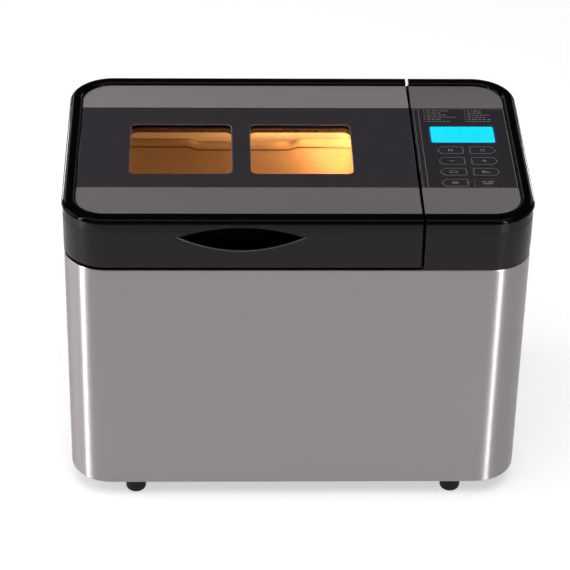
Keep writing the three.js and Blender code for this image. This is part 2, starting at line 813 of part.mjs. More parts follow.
// ---------------------------------------------------------------- build every piece
add("body_wrap", bodyWrap(), BRUSHED_STEEL);
add("base_tray", baseTray(), DARK_PLASTIC);
for (const [side, x] of [["left", -FOOT_X], ["right", FOOT_X]]) {
  add(`foot_front_${side}`, foot(x, -FOOT_Y), RUBBER);
  add(`foot_rear_${side}`, foot(x, FOOT_Y), RUBBER);
}
add("deck_frame", deckFrame(), DARK_PLASTIC);
add("cord_gland", cordGland(), RUBBER);

add("lid_shell", lidShell(), DARK_PLASTIC);
add("lid_rim", rim(LID_SPAN), GLOSS_BLACK);
add("lid_trim_front", facePlate(LID_SPAN, [-400, BAND_Y[0] - GAP / 2]), BRUSHED_STEEL);
add("lid_trim_rear", facePlate(LID_SPAN, [BAND_Y[1] + GAP / 2, 400]), BRUSHED_STEEL);
add("window_panel", windowPanel(), SMOKED_PANEL);
add("window_glass", box([-145.9, 55.1], [-47.9, 44.2], [272.4, 274]), CLEAR_GLASS);
add("lid_liner", lidLiner(), LINER_METAL);
add("inner_glass", box([-146, 56], [-49, 52], INNER_GLASS_Z), CLEAR_GLASS);
add("handle_cup", handleCup(), GLOSS_BLACK);

add("control_housing", controlHousing(), DARK_PLASTIC);
add("control_rim", rim(CONTROL_SPAN), GLOSS_BLACK);
add("control_trim_front", facePlate(CONTROL_SPAN, [-400, BAND_Y[0] - GAP / 2]), BRUSHED_STEEL);
add("control_trim_rear", facePlate(CONTROL_SPAN, [BAND_Y[1] + GAP / 2, 400]), BRUSHED_STEEL);
add("control_overlay", controlOverlay(), SMOKED_PANEL);
add("display", display(), DISPLAY_BLUE);
add("control_board", controlBoard(), BOARD_GREEN);
const KEY_NAMES = [
  ["key_pause", "key_cycle"],
  ["key_time_down", "key_time_up"],
  ["key_loaf_size", "key_crust_colour"],
  ["key_menu", "key_start_stop"],
];
KEY_NAMES.forEach((names, row) => {
  names.forEach((name, column) => add(name, key(column, row), SMOKED_PANEL));
});

add("oven_chamber", ovenChamber(), ZINC_STEEL);
add("heating_element", heatingElement(), ELEMENT_STEEL);
add("temperature_sensor", temperatureSensor(), ZINC_STEEL);
add("lamp_glass", lampGlass(), CLEAR_GLASS);
add("lamp_bulb", lampBulb(), BULB_GLASS);
add("pan_mount", panMount(), ZINC_STEEL);
add("bread_pan", breadPan(), NON_STICK);
add("pan_base", panBase(), ZINC_STEEL);
add("pan_handle", panHandle(), ZINC_STEEL);

add("drive_plate", drivePlate(), ZINC_STEEL);
["left", "right"].forEach((side, i) => {
  const x = SHAFT_X[i];
  const hingeX = HINGE_X[i];
  add(`hinge_pin_${side}`, rod("x", [HINGE.y, HINGE.z], [hingeX - 10, hingeX + 10], HINGE.pin), ZINC_STEEL);
  add(`bearing_${side}`, bearing(x), BRONZE);
  add(`drive_shaft_${side}`, driveShaft(x), ZINC_STEEL);
  add(`paddle_shaft_${side}`, paddleShaft(x), ZINC_STEEL);
  add(`paddle_${side}`, paddle(x), NON_STICK);
});
add("driven_pulley", drivenPulley(SHAFT_X[1]), PULLEY_PLASTIC);
add("link_pulley", linkPulley(SHAFT_X[0]), PULLEY_PLASTIC);
add("motor_pulley", motorPulley(), ZINC_STEEL);
const bigEnd = { x: SHAFT_X[1], r: BIG_PULLEY };
const motorEnd = { x: MOTOR_X, r: MOTOR_PULLEY };
add("drive_belt", belt(bigEnd, motorEnd, DRIVE_BELT_Z), RUBBER);
const linkEnds = SHAFT_X.map((x) => ({ x, r: LINK_PULLEY }));
add("link_belt", belt(linkEnds[0], linkEnds[1], LINK_BELT_Z), RUBBER);
add("motor", motor(), ZINC_STEEL);
add("capacitor", rod("z", [150, 60], [DRIVE_PLATE_Z[1] + GAP, 92], 15, 20), GLOSS_BLACK);
add("power_board", powerBoard(), BOARD_GREEN);

export default machine;
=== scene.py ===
"""Looks for a two-paddle bread machine: skins, lid, panel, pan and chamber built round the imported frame.

Lengths in the shape functions are millimetres in the machine's own frame, +Z up and +Y to the back.
"""

import math

import bmesh
import bpy
import numpy as np
from bpy.props import FloatProperty, FloatVectorProperty, IntProperty, PointerProperty
from mathutils import Matrix, Vector
from mathutils.geometry import delaunay_2d_cdt


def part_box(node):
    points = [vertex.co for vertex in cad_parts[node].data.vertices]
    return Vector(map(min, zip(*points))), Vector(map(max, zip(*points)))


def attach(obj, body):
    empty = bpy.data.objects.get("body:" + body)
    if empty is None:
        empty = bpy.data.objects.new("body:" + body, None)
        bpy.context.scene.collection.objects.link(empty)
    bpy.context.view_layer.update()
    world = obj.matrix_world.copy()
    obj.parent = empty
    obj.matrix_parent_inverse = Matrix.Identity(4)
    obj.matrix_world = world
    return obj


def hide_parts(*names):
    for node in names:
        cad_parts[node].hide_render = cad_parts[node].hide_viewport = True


bl_info = {
    "name": "Bread Machine",
    "version": (1, 0, 0),
    "blender": (4, 5, 0),
    "location": "View3D > Sidebar > Bread Machine",
    "description": "Builds the skins, lid, panel, pan and materials of a bread machine",
    "category": "Add Mesh",
}

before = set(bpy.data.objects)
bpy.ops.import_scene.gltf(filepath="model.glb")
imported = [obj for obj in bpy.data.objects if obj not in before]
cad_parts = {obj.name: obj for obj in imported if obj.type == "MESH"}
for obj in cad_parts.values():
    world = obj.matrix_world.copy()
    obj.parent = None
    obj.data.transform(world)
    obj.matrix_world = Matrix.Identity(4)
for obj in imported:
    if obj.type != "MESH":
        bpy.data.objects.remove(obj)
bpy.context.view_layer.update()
MM = 0.001
TAU = 2 * math.pi


def span(node, axis):
    """Lowest and highest place of a node along one axis, in millimetres."""
    low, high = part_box(node)
    return low[axis] / MM, high[axis] / MM


def spans(node):
    """The X, Y and Z spans of a node."""
    return tuple(span(node, axis) for axis in range(3))


def grown(x, y, by):
    """Two spans made longer by the same distance at each of their ends."""
    return (x[0] - by, x[1] + by), (y[0] - by, y[1] + by)


# ---------------------------------------------------------------- driving dimensions
RIM_X = (span("lid_rim", 0)[0], span("control_rim", 0)[1])
RIM_Y = span("lid_rim", 1)
RIM_Z = span("lid_rim", 2)
LID_RIGHT = span("lid_rim", 0)[1]
CONTROL_LEFT = span("control_rim", 0)[0]
CORNER = 36.0
SKIN_INSET = RIM_Y[1] - span("body_wrap", 1)[1]
SHEET = 0.8
MOULDING = 2.5
WRAP_Z = span("body_wrap", 2)
SKIRT_Z = span("lid_shell", 2)
SKIRT_LINE = SKIRT_Z[1] - 9.2
SKIRT_LEAN = 1.2
SKIRT_STEP = 0.25
RIM_WIDTH = 11.0
FRONT_DEEPER = 2.6
PLATE_Z = span("window_panel", 2)
PLATE_INSET = RIM_WIDTH + 0.3
BAND_Y = span("window_panel", 1)
WINDOW_X = ((-137.3, -53.0), (-37.8, 46.5))
WINDOW_Y = (-40.4, 38.8)
WINDOW_ROUND = 5.0
HINGE_X = tuple(sum(span(f"hinge_pin_{side}", 0)) / 2 for side in ("left", "right"))
HINGE_Y, HINGE_Z = (sum(span("hinge_pin_left", axis)) / 2 for axis in (1, 2))
PIN_BORE = 2.5
HINGE_TURN = 8.2
GRIP_X = -46.3
GRIP_HALF = 51.2
GRIP_TIP = 261.5
GRIP_TOP = 270.2
GRIP_BOTTOM = 248.7
SHAFT_X = tuple(sum(span(f"drive_shaft_{side}", 0)) / 2 for side in ("left", "right"))
INK_HEIGHT = 0.06
SMOOTH_ANGLE = math.radians(35)
# A flat shape stood up sideways: its X lies along Y, its Y points up and its height lies along X.
SIDEWAYS = ((0, 0, 1), (1, 0, 0), (0, 1, 0))
KEY_NODES = (
    ("key_pause", "key_cycle"),
    ("key_time_down", "key_time_up"),
    ("key_loaf_size", "key_crust_colour"),
    ("key_menu", "key_start_stop"),
)


# ---------------------------------------------------------------- shapes
# A shape is (points, faces): an N by 3 array and a list of index arrays, each with one face a row.
def together(*shapes):
    """Several shapes as one: points stacked, and each face index raised by the points before it."""
    points, faces, count = [], [], 0
    for shape_points, shape_faces in shapes:
        points.append(shape_points)
        faces += [rows + count for rows in shape_faces]
        count += len(shape_points)
    return np.vstack(points), faces


def moved(shape, offset=(0, 0, 0), turn=None):
    """A shape turned by a 3 by 3 matrix and then shifted."""
    points, faces = shape
    if turn is not None:
        points = points @ np.array(turn).T
    return points + np.array(offset, float), faces


def grid_faces(rows, columns, close_rows=False, close_columns=False):
    """Quads of a grid stored row by row; a closed direction joins its last line to its first."""
    i = np.arange(rows if close_rows else rows - 1)
    j = np.arange(columns if close_columns else columns - 1)
    i, j = np.meshgrid(i, j, indexing="ij")
    k, m = (i + 1) % rows, (j + 1) % columns
    quads = [i * columns + j, i * columns + m, k * columns + m, k * columns + j]
    return np.stack(quads, -1).reshape(-1, 4)


def arc(centre, radius, start, end, steps):
    """Points centre + radius (cos a, sin a) for a from start to end degrees."""
    a = np.radians(np.linspace(start, end, steps + 1))
    return np.array(centre) + radius * np.column_stack([np.cos(a), np.sin(a)])


def circle(centre, radius, steps):
    """A closed loop of points on a circle, counter-clockwise."""
    return arc(centre, radius, 0, 360, steps)[:-1]


def rim_run(part, stops=(), steps=20, rear_stops=()):
    """The rim's outline over one part, clockwise from above, with outward normals.

    Straight edges join quarter circles of radius CORNER. The stops are extra X places on the front
    edge and on the lid's rear edge.
    """
    a = np.radians(np.linspace(0, 90, steps + 1))
    sin, cos = np.sin(a), np.cos(a)
    left, right = RIM_X[0] + CORNER, RIM_X[1] - CORNER
    front, back = RIM_Y[0] + CORNER, RIM_Y[1] - CORNER
    ends = {"lid": LID_RIGHT, "control": CONTROL_LEFT}
    front_left = (np.array([left, front]), np.column_stack([-sin, -cos]))
    back_left = (np.array([left, back]), np.column_stack([-cos, sin]))
    back_right = (np.array([right, back]), np.column_stack([sin, cos]))
    front_right = (np.array([right, front]), np.column_stack([cos, -sin]))
    corners = {
        "lid": (front_left, back_left),
        "control": (back_right, front_right),
        "all": (front_left, back_left, back_right, front_right),
    }[part]
    points = [centre + CORNER * normals for centre, normals in corners]
    normals = [n for _, n in corners]
    if part != "all":
        end_x = ends[part] + np.array([0, -0.5 if part == "lid" else 0.5])
        front_end = np.column_stack([end_x, [RIM_Y[0]] * 2]), np.array([[0, -1]] * 2)
        back_end = np.column_stack([end_x, [RIM_Y[1]] * 2]), np.array([[0, 1]] * 2)
        first, last = (front_end, back_end) if part == "lid" else (back_end, front_end)
        points = [first[0], *points, last[0][::-1]]
        normals = [first[1], *normals, last[1]]
    if len(stops):
        xs = np.sort(np.array(stops, float))[::-1]
        points.insert(1, np.column_stack([xs, np.full(len(xs), RIM_Y[0])]))
        normals.insert(1, np.column_stack([0 * xs, 0 * xs - 1]))
    if len(rear_stops):
        xs = np.sort(np.array(rear_stops, float))
        points.insert(-1, np.column_stack([xs, np.full(len(xs), RIM_Y[1])]))
        normals.insert(-1, np.column_stack([0 * xs, 0 * xs + 1]))
    return np.vstack(points), np.vstack(normals)


def rounded(x, y, radii, steps=12):
    """A rectangle with quarter-circle corners, clockwise from the +X +Y corner, with normals."""
    r = [radii] * 4 if np.isscalar(radii) else radii
    points, normals = [], []
    for corner, start in enumerate((90, 0, -90, -180)):
        right, high = corner < 2, corner in (0, 3)
        radius = max(r[corner], 1e-4)
        centre = (x[1] - radius if right else x[0] + radius, y[1] - radius if high else y[0] + radius)
        unit = arc((0, 0), 1, start, start - 90, steps if r[corner] > 0 else 1)
        points.append(np.array(centre) + radius * unit)
        normals.append(unit)
    return np.vstack(points), np.vstack(normals)


def swept(run, out, z, closed=True, ring=False, capped=False):
    """A profile carried round a plan run: point (i, j) is run[i] + normal[i] * out[j] at height z[j].

    out and z may change along the run, as arrays with one row for each of its points.
    """
    path, normals = run
    out, z = np.broadcast_arrays(np.atleast_2d(out), np.atleast_2d(z))
    out = np.broadcast_to(out, (len(path), out.shape[1]))
    z = np.broadcast_to(z, out.shape)
    plan = path[:, None] + normals[:, None] * out[..., None]
    points = np.dstack([plan, z]).reshape(-1, 3)
    columns = out.shape[1]
    faces = [grid_faces(len(path), columns, closed, ring)]
    if capped:
        end = np.arange(columns)
        faces += [end[None, ::-1], end[None] + (len(path) - 1) * columns]
    return points, faces


def inset_loop(loop, distance):
    """A closed loop moved to its left or right by distance, with mitred corners."""
    along = np.roll(loop, -1, 0) - loop
    along /= np.linalg.norm(along, axis=1)[:, None]
    after = np.column_stack([along[:, 1], -along[:, 0]])
    before = np.roll(after, 1, 0)
    mitre = (before + after) / (1 + np.sum(before * after, 1))[:, None]
    return loop + mitre * distance


def signed_area(loop):
    """Half the sum of the cross products of neighbouring points: positive when counter-clockwise."""
    following = np.roll(loop, -1, 0)
    return 0.5 * np.sum(loop[:, 0] * following[:, 1] - following[:, 0] * loop[:, 1])


def without_repeats(loop):
    """A closed loop without points that coincide with the one before."""
    gap = np.linalg.norm(loop - np.roll(loop, 1, 0), axis=1)
    return loop[gap > 1e-3]


def inside(points, loops):
    """Even-odd test: whether a ray along +X from each point crosses the loops an odd number of times."""
    crossings = np.zeros(len(points), int)
    x, y = points[:, :1], points[:, 1:]
    for loop in loops:
        a, b = loop, np.roll(loop, -1, 0)
        straddles = (a[:, 1] > y) != (b[:, 1] > y)
        rise = np.where(b[:, 1] == a[:, 1], 1, b[:, 1] - a[:, 1])
        reach = a[:, 0] + (y - a[:, 1]) * (b[:, 0] - a[:, 0]) / rise
        crossings += np.sum(straddles & (x < reach), 1)
    return crossings % 2 == 1


def triangles(loops):
    """Index rows that fill the area between closed loops, by constrained Delaunay triangulation."""
    points = np.vstack(loops)
    edges, start = [], 0
    for loop in loops:
        index = np.arange(len(loop)) + start
        edges += np.column_stack([index, np.roll(index, -1)]).tolist()
        start += len(loop)
    found = delaunay_2d_cdt([Vector(p) for p in points.tolist()], edges, [], 0, 1e-5)
    source = np.array([ids[0] for ids in found[3]])
    rows = source[np.array(found[2])]
    return rows[inside(points[rows].mean(1), loops)]


def slab(outline, z, holes=(), edge=0.3, rings=3):
    """A plate between two heights with rounded upper edges and open holes.

    Ring k stands in by edge (1 - cos a) and up by edge sin a, for a from 0 to 90 degrees. One more ring
    lies a little further in, at full height, so that the flat top keeps its flat shading.
    """
    outer = without_repeats(np.asarray(outline, float))
    loops = [outer if signed_area(outer) > 0 else outer[::-1]]
    for hole in holes:
        loop = without_repeats(np.asarray(hole, float))
        loops.append(loop[::-1] if signed_area(loop) > 0 else loop)
    a = np.radians(np.linspace(0, 90, rings + 1)) if edge > 0 else np.zeros(1)
    insets = np.concatenate([[0], edge * (1 - np.cos(a))])
    heights = np.concatenate([[z[0]], z[1] - edge + edge * np.sin(a)])
    if edge > 0:
        insets = np.append(insets, edge + min(0.15, edge / 2))
        heights = np.append(heights, z[1])
    levels = []
    for inset, height in zip(insets, heights):
        flat = np.vstack([inset_loop(loop, -inset) for loop in loops])
        levels.append(np.column_stack([flat, np.full(len(flat), height)]))
    count = len(levels[0])
    cap = triangles(loops)
    faces = [cap[:, ::-1], cap + count * (len(levels) - 1)]
    start = 0
    for loop in loops:
        index = np.arange(len(loop)) + start
        following = np.roll(index, -1)
        for level in range(len(levels) - 1):
            low, high = level * count, (level + 1) * count
            faces.append(np.column_stack([index + low, following + low, following + high, index + high]))
        start += len(loop)
    return np.vstack(levels), faces


def turned(profile, centre=(0, 0), steps=48):
    """A profile of (radius, height) pairs turned about the vertical axis through centre."""
    profile = np.array(profile, float)
    a = np.linspace(0, TAU, steps, endpoint=False)[::-1, None]
    x = centre[0] + profile[:, 0] * np.cos(a)
    y = centre[1] + profile[:, 0] * np.sin(a)
    points = np.dstack([x, y, np.broadcast_to(profile[:, 1], x.shape)]).reshape(-1, 3)
    return points, [grid_faces(steps, len(profile), close_rows=True)]


def tube(path, radius, up=(0, 0, 1), sides=16, closed=False):
    """A round bar along a flat path: circles across the path's tangent, shrinking to caps at its ends."""
    path = np.asarray(path, float)
    if closed:
        tangent = np.roll(path, -1, 0) - np.roll(path, 1, 0)
        radii = np.full(len(path), float(radius))
    else:
        tangent = np.gradient(path, axis=0)
        cap = np.radians(np.array([0, 30, 60]))
        start = path[0] - radius * np.outer(np.cos(cap), tangent[0] / np.linalg.norm(tangent[0]))
        end = path[-1] + radius * np.outer(np.cos(cap), tangent[-1] / np.linalg.norm(tangent[-1]))
        shrink = radius * np.sin(cap) + 1e-4
        path = np.vstack([start, path, end[::-1]])
        tangent = np.vstack([tangent[[0, 0, 0]], tangent, tangent[[-1, -1, -1]]])
        radii = np.concatenate([shrink, np.full(len(path) - 6, float(radius)), shrink[::-1]])
    tangent /= np.linalg.norm(tangent, axis=1)[:, None]
    side = np.cross(tangent, np.array(up, float))
    side /= np.linalg.norm(side, axis=1)[:, None]
    lift = np.cross(side, tangent)
    a = np.linspace(0, TAU, sides, endpoint=False)
    ring = side[:, None] * np.cos(a)[None, :, None] + lift[:, None] * np.sin(a)[None, :, None]
    points = (path[:, None] + ring * radii[:, None, None]).reshape(-1, 3)
    faces = [grid_faces(len(path), sides, closed, True)]
    if not closed:
        end = np.arange(sides)
        faces += [end[None], end[None, ::-1] + (len(path) - 1) * sides]
    return points, faces


def filleted(corners, radius, steps=8):
    """A polyline whose inner corners become quadratic curves that start radius before the corner."""
    corners = np.array(corners, float)
    t = np.linspace(0, 1, steps + 1)[:, None]
    pieces = [corners[:1]]
    for before, at, after in zip(corners, corners[1:], corners[2:]):
        start = at + radius * (before - at) / np.linalg.norm(before - at)
        end = at + radius * (after - at) / np.linalg.norm(after - at)
        pieces.append((1 - t) ** 2 * start + 2 * t * (1 - t) * at + t**2 * end)
    pieces.append(corners[-1:])
    return np.vstack(pieces)


def screw(centre):
    """A pan-head screw on a face that looks along +Y: a dome with a small round dimple."""
    profile = [(0, 1.1), (0.7, 1.1), (1.1, 1.5), (2.2, 1.35), (3.2, 0.5), (3.2, -0.6), (0, -0.6)]
    return moved(turned(profile, steps=24), centre, [[1, 0, 0], [0, 0, 1], [0, -1, 0]])


# ---------------------------------------------------------------- pieces
def piece(name, shape, material, body, replaces=(), thickness=0.0, seal=True):
    """Puts a shape into a mesh object, gives it its finish and makes it ride on its body."""
    points, faces = shape
    mesh = bpy.data.meshes.new(name)
    rows = [row for block in faces for row in block.tolist()]
    mesh.from_pydata((points * MM).tolist(), [], rows)
    work = bmesh.new()
    work.from_mesh(mesh)
    bmesh.ops.remove_doubles(work, verts=work.verts, dist=1e-6)
    bmesh.ops.dissolve_degenerate(work, edges=work.edges, dist=1e-7)
    if seal:
        bmesh.ops.recalc_face_normals(work, faces=work.faces)
    work.to_mesh(mesh)
    work.free()
    mesh.shade_smooth()
    mesh.set_sharp_from_angle(angle=SMOOTH_ANGLE)
    keep_free_edges_sharp(mesh)
    mesh.materials.append(material)
    made = bpy.data.objects.new(name, mesh)
    bpy.context.scene.collection.objects.link(made)
    if thickness:
        solidify = made.modifiers.new("thickness", "SOLIDIFY")
        solidify.thickness = thickness * MM
        solidify.offset = -1
        solidify.use_even_offset = True
    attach(made, body)
    if replaces:
        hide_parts(*replaces)
    return made


def keep_free_edges_sharp(mesh):
    """Marks the edges that bound an open sheet as sharp, so that its thickness doesn't bend its shading."""
    used = np.empty(len(mesh.loops), np.int32)
    mesh.loops.foreach_get("edge_index", used)
    free = np.bincount(used, minlength=len(mesh.edges)) == 1
    sharp = mesh.attributes.get("sharp_edge") or mesh.attributes.new("sharp_edge", "BOOLEAN", "EDGE")
    flags = np.zeros(len(mesh.edges), bool)
    sharp.data.foreach_get("value", flags)
    sharp.data.foreach_set("value", flags | free)


def coat(material, *nodes):
    """Gives carried-over nodes a finish."""
    for node in nodes:
        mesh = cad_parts[node].data
        mesh.materials.clear()
        mesh.materials.append(material)


# ---------------------------------------------------------------- finishes
_finishes = {}


def added(tree, kind, **inputs):
    """A new shader node of a kind, with its inputs set by name."""
    node = tree.nodes.new("ShaderNode" + kind)
    for socket, value in inputs.items():
        node.inputs[socket.replace("_", " ")].default_value = value
    return node


def finish(name, colour, roughness, metallic=0.0, grain=(400, 400, 400), tone=0.1, haze=0.05,
           relief=0.05, depth=0.0002, detail=4.0, **sockets):
    """A surface whose colour, roughness and relief follow one noise field in object space.

    tone, haze and relief are how far the field moves the colour, the roughness and the bump.
    """
    if name in _finishes:
        return _finishes[name]
    material = bpy.data.materials.new(name)
    material.use_nodes = True
    tree = material.node_tree
    shader = tree.nodes["Principled BSDF"]
    shader.inputs["Metallic"].default_value = metallic
    for socket, value in sockets.items():
        shader.inputs[socket.replace("_", " ")].default_value = value
    place = added(tree, "TexCoord")
    stretch = added(tree, "Mapping", Scale=grain)
    noise = added(tree, "TexNoise", Scale=1.0, Detail=detail)
    blend = added(tree, "Mix")
    blend.data_type = "RGBA"
    blend.inputs[6].default_value = (*(c * (1 - tone) for c in colour), 1)
    blend.inputs[7].default_value = (*(c * (1 + tone) for c in colour), 1)
    gloss = added(tree, "MapRange", From_Min=0.3, From_Max=0.7, To_Min=max(roughness - haze, 0.02),
                  To_Max=roughness + haze)
    bump = added(tree, "Bump", Strength=relief, Distance=depth)
    links = tree.links
    links.new(place.outputs["Object"], stretch.inputs["Vector"])
    links.new(stretch.outputs["Vector"], noise.inputs["Vector"])
    links.new(noise.outputs["Fac"], blend.inputs[0])
    links.new(noise.outputs["Fac"], gloss.inputs["Value"])
    links.new(noise.outputs["Fac"], bump.inputs["Height"])
    links.new(blend.outputs[2], shader.inputs["Base Color"])
    links.new(gloss.outputs["Result"], shader.inputs["Roughness"])
    links.new(bump.outputs["Normal"], shader.inputs["Normal"])
    _finishes[name] = material
    return material


def brushed(name, grain):
    """Satin steel with long brush marks; grain is the noise scale, low along the brushing."""
    if name in _finishes:
        return _finishes[name]
    look = bpy.context.scene.bread_machine_finish
    material = finish(name, tuple(look.steel), look.steel_roughness, 1.0, grain, tone=0.06, haze=0.03,
                      relief=0.06, depth=0.00006, detail=3.0, Anisotropic=0.95, Anisotropic_Rotation=0.25)
    tree = material.node_tree
    tangent = added(tree, "Tangent")
    tangent.direction_type = "RADIAL"
    tangent.axis = "Z"
    tree.links.new(tangent.outputs["Tangent"], tree.nodes["Principled BSDF"].inputs["Tangent"])
    return material


def wall_steel():
    return brushed("brushed_steel_walls", (4, 4, 1400))


# Steel for the top strips. Its colour is scaled by a painted-light level, so the strips get lighter and
# darker copies of one steel: painted light.
def top_steel(painted_light_level=1.0):
    colour = (0.2 * painted_light_level, 0.18 * painted_light_level, 0.177 * painted_light_level)
    return finish(f"brushed_steel_tops_painted_light_{round(100 * painted_light_level)}", colour, 0.5, 0.55, (6, 1500, 6), tone=0.1,
                  haze=0.04, relief=0.08, depth=0.0001, detail=3.0)


def charcoal():
    look = bpy.context.scene.bread_machine_finish
    return finish("charcoal_moulding", tuple(look.charcoal), 0.34, grain=(900, 900, 900), tone=0.1,
                  haze=0.05, relief=0.06, depth=0.0001, Specular_IOR_Level=0.15)


def gloss_black():
    return finish("gloss_black", (0.0012, 0.0011, 0.0012), 0.1, grain=(60, 60, 60), tone=0.2, haze=0.02,
                  relief=0.01, Specular_IOR_Level=0.04)


def smoked():
    look = bpy.context.scene.bread_machine_finish
    return finish("smoked_sheet", tuple(look.smoked), 0.22, grain=(220, 220, 220), tone=0.06, haze=0.03,
                  relief=0.01, Specular_IOR_Level=0.35)


def panel_film():
    look = bpy.context.scene.bread_machine_finish
    return finish("panel_film", tuple(0.7 * c for c in look.smoked), 0.24, grain=(220, 220, 220), tone=0.06,
                  haze=0.03, relief=0.01, Specular_IOR_Level=0.3)


def rubber():
    return finish("black_rubber", (0.006, 0.0045, 0.006), 0.6, grain=(700, 700, 700), tone=0.2, haze=0.08,
                  relief=0.2, Specular_IOR_Level=0.15)


def print_ink():
    return finish("legend_ink", (0.16, 0.145, 0.16), 0.5, grain=(900, 900, 900), tone=0.25)


def bare_steel():
    return finish("bare_steel", (0.55, 0.55, 0.56), 0.3, 1.0, (300, 300, 300), tone=0.12, haze=0.1)


def zinc_sheet():
    return finish("zinc_sheet", (0.5, 0.505, 0.51), 0.42, 1.0, (90, 90, 90), tone=0.22, haze=0.12,
                  relief=0.1)


def chamber_sheet():
    return finish("chamber_sheet", (0.62, 0.6, 0.57), 0.4, 0.5, (60, 60, 220), tone=0.12, haze=0.1,
                  relief=0.15, depth=0.0003)


def speckled_coating():
    """Bronze non-stick coating with fine dark flecks where a cell noise is close to a cell's middle."""
    name = "speckled_non_stick"
    if name in _finishes:
        return _finishes[name]
    material = finish(name, (0.24, 0.195, 0.15), 0.42, 0.4, (500, 500, 500), tone=0.15, haze=0.08,
                      relief=0.2)
    tree = material.node_tree
    cells = added(tree, "TexVoronoi", Scale=700)
    fleck = added(tree, "MapRange", From_Min=0.16, From_Max=0.1)
    blend = added(tree, "Mix")
    blend.data_type = "RGBA"
    blend.inputs[7].default_value = (0.1, 0.08, 0.065, 1)
    shader = tree.nodes["Principled BSDF"]
    under = shader.inputs["Base Color"].links[0].from_socket
    place = next(n for n in tree.nodes if n.type == "TEX_COORD")
    tree.links.new(place.outputs["Object"], cells.inputs["Vector"])
    tree.links.new(cells.outputs["Distance"], fleck.inputs["Value"])
    tree.links.new(fleck.outputs["Result"], blend.inputs[0])
    tree.links.new(under, blend.inputs[6])
    tree.links.new(blend.outputs[2], shader.inputs["Base Color"])
    return material


def clear_glass(name, colour, roughness=0.02):
    return finish(name, colour, roughness, grain=(40, 40, 40), tone=0.02, haze=0.01, relief=0.0,
                  Transmission_Weight=1.0, IOR=1.05)


def lit(name, colour, strength):
    """A surface that glows by itself, with a slight cloudiness in the colour under the glow."""
    return finish(name, (0.01, 0.01, 0.012), 0.25, grain=(120, 120, 120), tone=0.3, Specular_IOR_Level=0.1,
                  Emission_Color=(*colour, 1), Emission_Strength=strength)


# ---------------------------------------------------------------- settings
class BreadMachineFinish(bpy.types.PropertyGroup):
    """Colours and gloss that a user would change."""

    steel: FloatVectorProperty(
        name="Steel", description="Colour of the brushed steel", subtype="COLOR", size=3,
        default=(0.30, 0.275, 0.279), min=0, max=1)
    steel_roughness: FloatProperty(
        name="Steel roughness", description="Gloss of the steel across its brushing", default=0.34,
        min=0, max=1, subtype="FACTOR")
    charcoal: FloatVectorProperty(
        name="Mouldings", description="Colour of the lid and panel mouldings", subtype="COLOR", size=3,
        default=(0.013, 0.0098, 0.0125), min=0, max=1)
    smoked: FloatVectorProperty(
        name="Smoked sheet", description="Colour of the dark top sheet", subtype="COLOR", size=3,
        default=(0.029, 0.026, 0.0312), min=0, max=1)
    display: FloatVectorProperty(
        name="Display", description="Colour of the lit display", subtype="COLOR", size=3,
        default=(0.0006, 0.776, 0.973), min=0, max=1)
    lamp: FloatVectorProperty(
        name="Lamp", description="Colour of the lamp in the chamber", subtype="COLOR", size=3,
        default=(1.0, 0.56, 0.22), min=0, max=1)
    lamp_power: FloatProperty(
        name="Lamp power", description="Power of the lamp in the chamber", default=4.8, min=0, unit="POWER")


class BreadMachineSizes(bpy.types.PropertyGroup):
    """Small sizes that the frame leaves open."""

    bead_round: FloatProperty(
        name="Bead rounding", description="Radius of the rim bead's edges, in metres", default=0.003,
        min=0.001, max=0.0036, unit="LENGTH")
    key_edge: FloatProperty(
        name="Key edge", description="Radius of the keys' upper edges, in metres", default=0.0005,
        min=0.0001, max=0.001, unit="LENGTH")
    corner_steps: IntProperty(
        name="Corner steps", description="Segments in each corner of the body", default=20, min=6, max=64)


# ---------------------------------------------------------------- stage
def add_light(name, kind, place, target, power, colour, size=None, seen_by="both"):
    """A lamp at a place in metres, turned towards a target; seen by "gloss", it adds no diffuse light."""
    data = bpy.data.lights.new(name, kind)
    data.energy = power
    data.color = colour
    if kind == "AREA":
        data.shape = "RECTANGLE"
        data.size, data.size_y = size
    else:
        data.shadow_soft_size = size
    light = bpy.data.objects.new(name, data)
    light.location = place
    direction = Vector(target) - Vector(place)
    light.rotation_euler = direction.to_track_quat("-Z", "Y").to_euler()
    light.visible_camera = False
    light.visible_diffuse = seen_by != "gloss"
    bpy.context.scene.collection.objects.link(light)


def add_camera():
    """The camera looks down by a pitch and is then swung to the right about its own upright axis."""
    pitch, swing = math.radians(34.32), math.radians(1.756)
    level = Vector((0, math.cos(pitch), -math.sin(pitch)))
    aside = Vector((1, 0, 0))
    forward = level * math.cos(swing) + aside * math.sin(swing)
    right = aside * math.cos(swing) - level * math.sin(swing)
    up = right.cross(forward)
    data = bpy.data.cameras.new("camera")
    data.lens = 155.65
    data.sensor_width = 36
    camera = bpy.data.objects.new("camera", data)
    place = Vector((-0.0715, -1.7475, RIM_Z[1] * MM + 1.0533))
    turn = Matrix((right, up, -forward)).transposed()
    camera.matrix_world = Matrix.Translation(place) @ turn.to_4x4()
    bpy.context.scene.collection.objects.link(camera)
    bpy.context.scene.camera = camera


